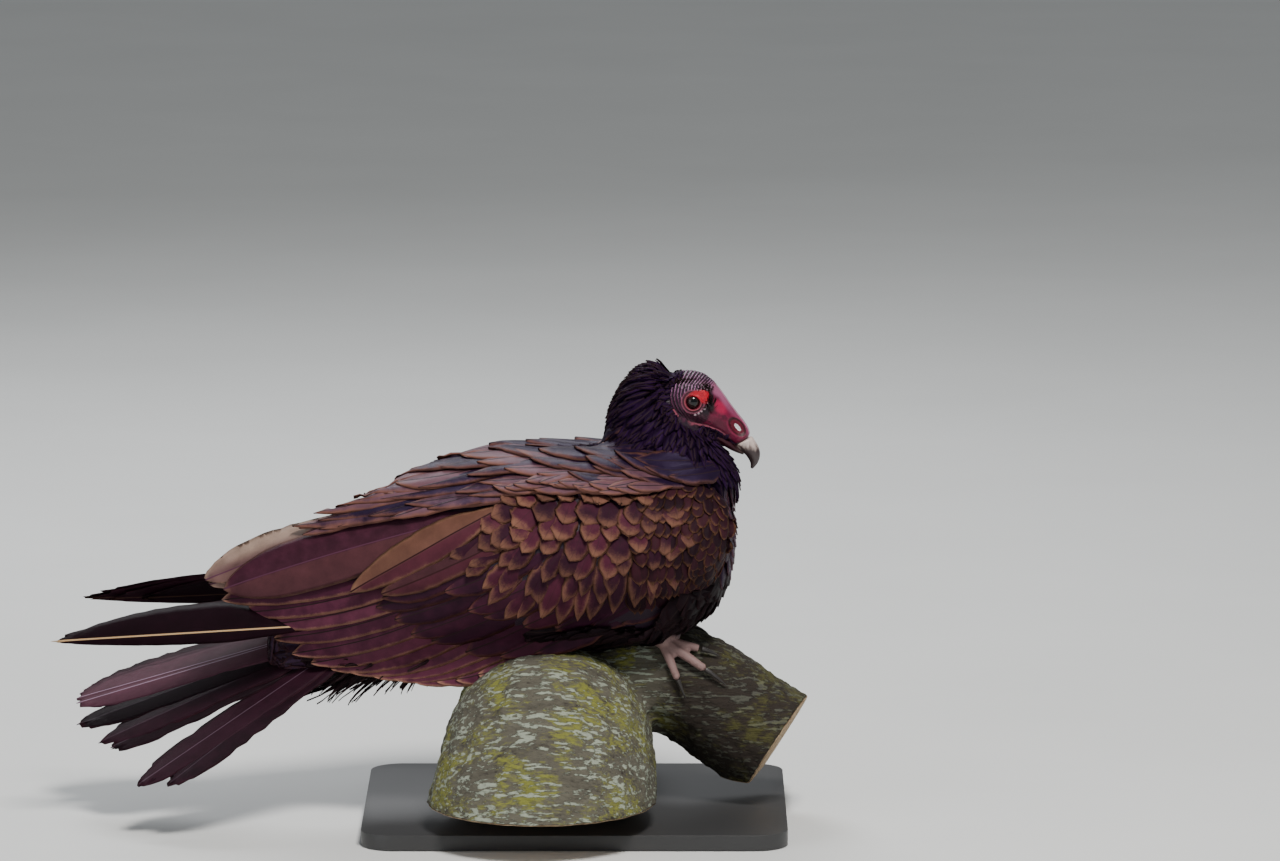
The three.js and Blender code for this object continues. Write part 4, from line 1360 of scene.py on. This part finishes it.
def make_scapulars(relief):
    coat = Coat()
    top = [(50.7, 361.7), (-11.7, 367.2), (-74.1, 368.8), (-113.1, 358.5), (-158.3, 341.9), (-188.0, 326.1), (-218.4, 307.2)]
    low = [(50.7, 345.9), (-11.7, 342.7), (-66.3, 330.9), (-97.5, 324.5), (-120.9, 319.0), (-173.9, 307.2), (-209.8, 301.6)]
    columns = 9
    upper, lower = spread(top, columns), spread(low, columns)
    for row, share in enumerate((1.0, 0.78, 0.55, 0.34, 0.15, 0.0)):
        tips = upper * (1 - share) + lower * share
        if row % 2:
            tips = (tips[1:] + tips[:-1]) / 2
        count = len(tips)
        tips = tips + rng.normal(size=tips.shape) * (5.0, 1.0)
        slope = np.interp(tips[:, 0], [-225, -150, -75, 40], [24, 20, 14, 1]) - 7 * (1 - share) + rng.normal(0, 3.5, count)
        lengths = np.interp(tips[:, 0], [-225, -120, 40], [116, 112, 58]) * rng.uniform(0.8, 1.15, count)
        widths = np.interp(tips[:, 0], [-225, -120, 40], [17, 18, 19]) * rng.uniform(0.8, 1.15, count)
        front = smoothstep(tips[:, 0], -60, 0) * smoothstep(share, 1.1, 0.2)
        side_feathers(
            coat, relief, spines_to(tips, slope, lengths, 3.0), widths, rng.uniform(0.25, 0.6, count),
            root_depth=4.5, tip_lift=rng.uniform(0.8, 2.4, count) * np.interp(tips[:, 0], [-210, -150], [0.2, 1]), roll=2.4, camber=2.0, rows=16, cols=7, ragged=0.03,
            size=0.022, lift=1.4 + 0.5 * row, wrap=True, drop=19, tone=np.clip(rng.random(count) * 1.1 - front, 0, 1),
        )
    cape = spread([(28.9, 358.5), (50.7, 352.2), (72.5, 345.9)], 4, 1.0)
    side_feathers(
        coat, relief, spines_to(cape, [0, 4, 8, 10], [62, 60, 56, 50], 3.0), 19, 0.5, root_depth=4, tip_lift=1.5, roll=2.0,
        camber=2.2, rows=14, cols=7, size=0.022, lift=2.5, wrap=True, tone=np.zeros(4),
    )
    small = spread([(-60.8, 338.0), (-11.7, 339.6), (19.5, 332.4), (40.6, 337.2)], 15, 2.2)
    side_feathers(
        coat, relief, spines_to(small, rng.normal(8, 7, 15), 36, 1.5), 11, 0.7, root_depth=2, tip_lift=2.6, roll=2.6,
        camber=1.2, rows=10, cols=5, ragged=0.04, size=0.022, lift=2.4, wrap=True, tone=np.ones(15),
    )
    return coat.build("scapulars")


def blades(coat, count, length, width, upper_share, turns, bleach, tone, roundness, fix, rows=26, cols=9, camber=2.0, tip_sweep=0.3, ragged=0.012, split=0.0):
    """Straight flight feathers, built lying back along X and then turned into place by fix(index, points)."""
    s = stations(rows)
    c = np.linspace(-1, 1, cols)
    share = np.where(c < 0, 2 * upper_share, 2 * (1 - upper_share))
    length, width, roundness = (np.broadcast_to(np.asarray(v, float), count) for v in (length, width, roundness))
    half = np.array([outline(s, r, 0.3) for r in roundness]) * width[:, None] / 2
    half = half * (1 + ragged * rng.normal(size=half.shape))
    offset = half[..., None] * c * share
    notch = 1 - split * (rng.random((count, rows, cols)) < 0.3) * (np.abs(c) > 0.9) * (s > 0.3)[:, None]
    offset = offset * notch
    sweep = tip_sweep * half[..., None] * np.abs(c) ** 1.5 * smoothstep(s, 0.55, 1)[:, None]
    jag = rng.normal(size=offset.shape) * 2.2 * smoothstep(s, 0.8, 1)[:, None]
    x = -s[None, :, None] * length[:, None, None] + sweep + jag
    bow = camber * (1 - c**2) - 0.0
    top = np.stack([x, offset, np.zeros_like(x) + bow], -1)
    normal = np.zeros_like(top)
    normal[..., 2] = 1
    # columns run to the left of the heading, which is toward -Y on a feather lying back
    top[..., 1] *= -1
    moved, turned = zip(*(fix(k, top[k], normal[k]) for k in range(count)))
    edge = np.minimum(half[..., None] * (1 - np.abs(c)) * share, (1 - s[:, None]) * length[:, None, None])
    along = s[None, :, None] * length[:, None, None] * np.ones(cols)
    thickness = 0.7 * (1 - 0.7 * c**2) * np.ones_like(x)
    return np.array(moved), np.array(turned), thickness, edge, offset, along, tone


def rotated(points, axis, degrees):
    angle = math.radians(degrees)
    co, si = math.cos(angle), math.sin(angle)
    x, y, z = np.moveaxis(points, -1, 0)
    if axis == "x":
        return np.stack([x, y * co - z * si, y * si + z * co], -1)
    if axis == "y":
        return np.stack([x * co + z * si, y, -x * si + z * co], -1)
    return np.stack([x * co - y * si, x * si + y * co, z], -1)


def turned_by(points, normals, turns, place):
    for axis, degrees in turns:
        points, normals = rotated(points, axis, degrees), rotated(normals, axis, degrees)
    return points + place, normals


def make_primaries():
    coat = Coat()
    for side in (-1, 1):
        left = side > 0
        lift = 7.5 if left else -5.0

        def fix(i, points, normals):
            turns = [("x", -side * 52), ("z", -3.5 * side), ("y", -((1.7 if left else 2.9) + 0.5 * i))]
            place = (-198 + (17 if left else 0), side * (37.6 - 1.5 * i), 240 + lift + 1.1 * i)
            return turned_by(points, normals, turns, place)

        share = np.arange(4) / 3
        upper = 0.74 if side < 0 else 0.26
        made = blades(coat, 4, 205 - 45 * share**2, 37 - 3 * share, upper, None, None, rng.random(4), 0.38, fix)
        coat.add(*made, size=0.09, bleach=np.full((4, 1, 1), 0.0 if left else 1.0))
    return coat.build("primary_feathers")


RECTRICES = [
    (-16, 42), (-15, 26), (-14, 14), (-13, 6), (-12, 2), (-10.5, 0), (-9, 0), (-3, 2), (4.5, 16), (7.5, 21), (22.5, 20), (28, 36),
]
TAIL_ROOT = (-150, 0, 239)


def make_tail():
    coat = Coat()
    last = len(RECTRICES) - 1

    def fix(i, points, normals):
        turn, _ = RECTRICES[i]
        from_middle = abs(2 * i / last - 1)
        points, normals = turned_by(points, normals, [("z", turn)], (0, 0, -5 * from_middle))
        return turned_by(points, normals, [("x", 25), ("y", -22)], TAIL_ROOT)

    lengths = [258 - short for _, short in RECTRICES]
    bleach = np.array([0, 0, 0.1, 0.2, 0.5, 0.9, 1.0, 0, 0, 0, 0.15, 0.0]).reshape(-1, 1, 1)
    made = blades(coat, 12, lengths, 38, 0.5, None, None, rng.random(12), 0.97, fix, camber=1.2, tip_sweep=0.05, split=0.12)
    coat.add(*made, size=0.08, bleach=bleach)
    return coat.build("tail_feathers")


# How the coat lies: (x, z) on the body, and the way feathers point there
LIE = np.array([
    (62, 434, -1, 0.05), (36, 418, -1, -0.5), (28, 392, -0.9, -0.7), (60, 395, -0.75, -0.8), (92, 382, -0.4, -1),
    (112, 372, 0.3, -1), (124, 350, 0.35, -1), (85, 350, -0.35, -1), (48, 350, -0.8, -0.55), (20, 365, -1, -0.1),
    (-100, 368, -1, -0.05), (-200, 310, -1, -0.35), (125, 315, 0.0, -1), (110, 265, -0.45, -1), (70, 225, -1, -0.5),
    (0, 208, -1, -0.15), (-100, 200, -1, -0.1), (-170, 190, -1, -0.25), (-230, 190, -1, -0.4),
])


def lie_at(points):
    gaps = ((points[:, None, [0, 2]] - LIE[None, :, :2]) ** 2).sum(-1)
    weights = 1 / (gaps + 60) ** 1.5
    flow = (weights[..., None] * LIE[None, :, 2:]).sum(1) / weights.sum(1, keepdims=True)
    return unit(np.stack([flow[:, 0], 0.0 * flow[:, 0], flow[:, 1]], 1))


def make_body_coat(body):
    """Neck ruff, mantle, breast, belly and thighs, in three pieces."""
    head_tree = node_tree("head")
    low_x, high_x = -245, 140

    def keep(points, normals):
        x, y, z = points.T
        hidden_from = np.interp(x, [-150, -100, -50, 0, 44, 92, 114], [210, 222, 230, 240, 252, 270, 290])
        under_wing = (np.abs(y) > 44) & (z > hidden_from) & (z < 350) & (x > -160) & (x < 96)
        inner = (np.abs(y) > 30) & (z > 235) & (z < 340) & (x > -130) & (x < 84)
        return ~(under_wing | inner) & (z > 182) & (x > low_x) & (x < high_x)

    def spacing(points):
        x, y, z = points.T
        neck = smoothstep(z, 345, 372) * smoothstep(x, 5, 30)
        face = smoothstep(x, 66, 76) * smoothstep(z, 368, 384)
        return 8.0 - 4.3 * neck - 1.2 * face

    roots = scattered(body, spacing, keep)
    x, y, z = roots.T
    ab = side_plane(roots)
    level, _ = wrinkle_pattern(ab)
    _, above_fold = line_distance(ab, JAW_FOLD)
    on_head = gap_to(head_tree, roots) < 1.5
    bare_zone = on_head & (level > 0.15) & (above_fold | (ab[:, 1] > 400)) | on_head & (x > 121)
    bare_zone |= on_head & (z > 420)
    roots = roots[~bare_zone]
    x, y, z = roots.T
    neck = smoothstep(z, 345, 372) * smoothstep(x, 5, 30)
    headings = lie_at(roots) + 0.10 * rng.normal(size=roots.shape)
    # a feather whose root lies by the bare face is smaller
    near_face = 1 - smoothstep(gap_to(head_tree, roots), 0, 12)
    lengths = (36 - 12 * neck) * (1 - 0.5 * near_face) * rng.normal(1, 0.08, len(roots))
    widths = (17 - 7.8 * neck) * (1 - 0.45 * near_face) * rng.normal(1, 0.08, len(roots))
    throat = smoothstep(x, 108, 122) * smoothstep(z, 325, 345)
    crest = smoothstep(z, 405, 425) * (1 - smoothstep(x, 70, 80))
    spiky = np.maximum(throat, crest)
    roundness = 0.75 - 0.35 * neck - 0.4 * spiky
    tip_lift = 0.2 + 1.0 * spiky + 0.4 * neck
    depth = 5.0 - 2.2 * neck
    rump = smoothstep(-x, 165, 190)
    tip_lift = tip_lift - 4.5 * smoothstep(-x, 140, 175) * smoothstep(z, 283, 297)
    lengths, widths = lengths + 16 * rump, widths - 2 * rump
    headings = unit(headings * (1 - rump[:, None]) + np.array([-1.0, 0, -0.28]) * rump[:, None])
    groups = {
        "neck_feathers": neck > 0.4,
        "mantle_feathers": (neck <= 0.4) & ((z > 300) | (x < -175)),
        "breast_and_belly_feathers": (neck <= 0.4) & (z <= 300) & (x >= -175),
    }
    made = {}
    for name, chosen in groups.items():
        coat = Coat()
        body_feathers(
            coat, body, roots[chosen], headings[chosen], lengths[chosen], (widths * (1 - 0.45 * spiky))[chosen],
            roundness[chosen], depth[chosen], tip_lift[chosen], rows=7, cols=3, curl=1.0,
        )
        made[name] = coat.build(name)
    return made


def make_wing_front(wings):
    """Small feathers round the blunt front of the folded wings."""
    def keep(points, normals):
        x, y, z = points.T
        return (x > 96) & (normals[:, 0] > -0.2)

    roots = scattered(wings, lambda p: np.full(len(p), 5.6), keep)
    count = len(roots)
    headings = np.tile((-0.25, 0.0, -1.0), (count, 1)) + 0.08 * rng.normal(size=roots.shape)
    coat = Coat()
    body_feathers(coat, wings, roots, headings, 22, 11, 0.85, 2.2, 1.2, cols=5, rows=7, ragged=0.05)
    return coat.build("wing_front_feathers")


def make_fringe(body):
    """Loose black tufts under the tail and along the belly's hind edge."""
    def keep(points, normals):
        x, y, z = points.T
        return (x < -40) & (x > -205) & (normals[:, 2] < -0.5) & (z < 215)

    roots = scattered(body, lambda p: np.full(len(p), 6.0), keep)
    headings = np.tile((-0.9, 0.0, -0.5), (len(roots), 1)) + 0.22 * rng.normal(size=roots.shape)
    coat = Coat()
    lift = rng.uniform(1, 9, len(roots))
    body_feathers(coat, body, roots, headings, rng.uniform(26, 40, len(roots)), rng.uniform(4, 8, len(roots)), 0.15, 4, lift, rows=7, curl=1.0, ragged=0.15)
    return coat.build("undertail_tufts")


def skin_surface():
    skin = bpy.data.objects["skin"]
    surface = Surface.__new__(Surface)
    surface.points, surface.normals = points_of(skin), normals_of(skin)
    polygons = [tuple(p.vertices) for p in skin.data.polygons]
    surface.tree = BVHTree.FromPolygons([tuple(p) for p in surface.points], polygons)
    surface.face_normals = unit(np.array([surface.normals[list(p)].mean(0) for p in polygons]))
    return surface


def make_face_border(surface):
    """The short plumes that frame the bare face."""
    edge = [(76, 436), (72, 431.4), (70.9, 422), (70.6, 414.4), (71.6, 406), (75.2, 400), (79.5, 394), (84, 387.6), (94, 384.8), (103, 382.8), (111, 379.2), (118, 374.6)]
    coat = Coat()
    for shift, count, length in ((-3.6, 80, 12), (-1.6, 90, 10.5), (0.2, 100, 9)):
        line = spread(edge, count, 0.5)
        out = np.gradient(line, axis=0)
        out = unit(np.stack([out[:, 1], -out[:, 0]], 1))
        below = smoothstep(line[:, 0], 76, 92)[:, None]
        away = unit(out * (1 - below) + np.array([-0.55, -0.8]) * below)
        line = line + away * (-shift)
        for side in (-1, 1):
            guess = np.stack([line[:, 0], np.full(count, side * 17.0), line[:, 1] + 2.6], 1)
            heading = np.stack([away[:, 0], 0 * away[:, 0], away[:, 1]], 1) + 0.16 * rng.normal(size=(count, 3))
            body_feathers(coat, surface, guess, unit(heading), length * rng.uniform(0.8, 1.2, count), 4.6, 0.5, 0.5, 1.1, rows=6, camber=0.5, thick=0.35)
    for near, far, count, highest in ((64, 74, 50, 7.0), (70, 79, 60, 6.0)):
        tufts = np.stack([rng.uniform(near, far, count), rng.uniform(-9, 9, count), np.full(count, 430.0)], 1)
        rise = np.stack([np.full(count, -1.0), 0.25 * rng.normal(size=count), rng.uniform(0.0, 0.5, count)], 1)
        body_feathers(
            coat, surface, tufts, unit(rise), rng.uniform(15, 23, count), 5.2, 0.4, 0.5, rng.uniform(2, highest, count),
            rows=7, camber=0.6, thick=0.35, curl=0.5,
        )
    return coat.build("face_border_plumes")


def make_bristles(surface):
    """Short stiff bristles before the eye, on the forehead and crown."""
    patches = [((105.5, 403.5), (3.5, 6), 34, (0.3, 0.55), 5.0), ((103.5, 418.5), (7, 3.5), 40, (0.6, 0.3), 3.6), ((84, 425), (10, 4), 90, (-0.8, 0.3), 2.8)]
    roots, headings, lengths = [], [], []
    for centre, radii, count, lean, length in patches:
        for side in (-1, 1):
            ab = np.array(centre) + rng.normal(size=(count, 2)) * np.array(radii) * 0.5
            guess = np.stack([ab[:, 0], np.full(count, side * 16.0), ab[:, 1] + 2.5], 1)
            roots.append(guess)
            headings.append(np.stack([np.full(count, lean[0]), side * 0.5 * np.ones(count), np.full(count, lean[1])], 1) + 0.3 * rng.normal(size=(count, 3)))
            lengths.append(rng.uniform(0.6, 1.1, count) * length)
    roots, headings, lengths = np.concatenate(roots), np.concatenate(headings), np.concatenate(lengths)
    coat = Coat()
    body_feathers(coat, surface, roots, unit(headings), lengths, 0.55, 0.0, 0.1, 1.6, rows=5, camber=0.1, thick=0.25)
    return coat.build("head_bristles")


def make_coat():
    skin = skin_surface()
    body = Surface("body_guide", ["trunk", "neck", "head", "leg_left", "leg_right"], 3.0, 4)
    flank = Surface("flank_guide", ["trunk", "neck", "wing_right"], 3.0, 6)
    wing_only = Surface("wing_guide", ["wing_right"], 3.0, 2)
    wings = Surface("wings_guide", ["wing_left", "wing_right"], 3.0, 2)
    side = Relief(flank, (-330, 180), (150, 400))
    wing = Relief(wing_only, (-330, 180), (150, 400))
    black = (0.007, 0.002, 0.005)
    covert = feather_finish(
        "covert vanes", (0.064, 0.011, 0.026), (0.205, 0.095, 0.058), 4.6, dark=(0.030, 0.005, 0.016), roughness=0.6, shaft_show=0.25,
    )
    marginal = feather_finish(
        "wrist covert vanes", (0.034, 0.007, 0.013), (0.15, 0.068, 0.036), 1.6, dark=(0.015, 0.003, 0.008), roughness=0.6, shaft_show=0.2,
    )
    greater = feather_finish(
        "greater covert vanes", (0.056, 0.010, 0.026), (0.135, 0.050, 0.038), 3.0, dark=(0.030, 0.006, 0.019), roughness=0.55,
    )
    secondary = feather_finish(
        "secondary vanes", (0.105, 0.024, 0.048), (0.34, 0.17, 0.11), 2.8, dark=(0.058, 0.011, 0.028), roughness=0.52,
    )
    # The tertials' pale colour below is a painted highlight, laid where light from above falls on them.
    tertial = feather_finish(
        "tertial vanes", (0.060, 0.013, 0.028), (0.16, 0.08, 0.06), 2.2, dark=(0.038, 0.008, 0.018),
        bleach_and_highlight_colour=(0.34, 0.24, 0.19), shaft=(0.08, 0.025, 0.05), shaft_width=0.6, roughness=0.5,
        lower_vane=(0.078, 0.026, 0.032),
    )
    tan_covert = feather_finish(
        "worn covert vanes", (0.120, 0.052, 0.036), (0.18, 0.09, 0.055), 4.0, dark=(0.060, 0.018, 0.024), roughness=0.55,
        shaft=(0.03, 0.008, 0.010), shaft_width=0.7, lower_vane=(0.075, 0.017, 0.028),
    )
    scapular = feather_finish(
        "scapular vanes", (0.118, 0.054, 0.066), (0.19, 0.080, 0.050), 3.6, dark=(0.012, 0.0036, 0.020), roughness=0.42, sheen=0.2, gloss=(0.72, 0.6, 1.0),
    )
    primary = feather_finish(
        "primary vanes", (0.0135, 0.0026, 0.0070), (0.022, 0.005, 0.009), 1.0, dark=(0.0085, 0.0017, 0.0045), sheen=0.05,
        shaft=(0.50, 0.32, 0.17), shaft_width=0.85, roughness=0.5, bare_shaft=0.05,
    )
    tail = feather_finish(
        "tail vanes", (0.020, 0.0036, 0.0105), (0.045, 0.012, 0.020), 1.8, dark=(0.010, 0.0018, 0.0055),
        bleach_and_highlight_colour=(0.085, 0.030, 0.048), shaft=(0.30, 0.20, 0.28), shaft_width=0.55, roughness=0.55, bare_shaft=0.12,
    )
    neck = feather_finish(
        "neck plumes", (0.0185, 0.0044, 0.030), (0.0215, 0.0058, 0.032), 1.4, dark=(0.009, 0.0019, 0.013), roughness=0.6,
        gloss=(0.72, 0.6, 1.0), relief_show=0.5,
    )
    mantle = feather_finish(
        "mantle vanes", (0.052, 0.024, 0.050), (0.085, 0.034, 0.034), 2.4, dark=(0.020, 0.008, 0.020), roughness=0.42, sheen=0.22, gloss=(0.72, 0.6, 1.0),
    )
    belly = feather_finish(
        "breast and belly vanes", (0.012, 0.004, 0.007), (0.022, 0.008, 0.011), 1.6, dark=black, roughness=0.6,
    )

    for obj, material, slot in (
        (make_secondaries(wing), secondary, "wing_plumage"),
        (make_greater_coverts(wing), greater, "wing_plumage"),
        (make_wing_coverts(wing), covert, "wing_plumage"),
        (make_marginal_coverts(wing), marginal, "wing_plumage"),
        (make_tertials(wing), tertial, "wing_plumage"),
        (make_tan_covert(wing), tan_covert, "wing_plumage"),
        (make_wing_front(wings), marginal, "wing_plumage"),
        (make_scapulars(side), scapular, "plumage"),
        (make_fringe(body), belly, "plumage"),
        (make_bristles(skin), belly, "plumage"),
        (make_face_border(skin), neck, "plumage"),
    ):
        finish_piece(obj, slot, material)
    finish_piece(make_primaries(), "flight_feather", primary, "primaries_left", "primaries_right")
    finish_piece(make_tail(), "flight_feather", tail, "tail")
    made = make_body_coat(body)
    finish_piece(made["neck_feathers"], "plumage", neck)
    finish_piece(made["mantle_feathers"], "plumage", mantle)
    finish_piece(made["breast_and_belly_feathers"], "plumage", belly)
    for surface in (body, flank, wing_only, wings):
        surface.remove()


add_camera()
add_studio()
make_stand()
make_perch()
make_skin()
make_eyes()
make_bill()
make_claws()
make_coat()
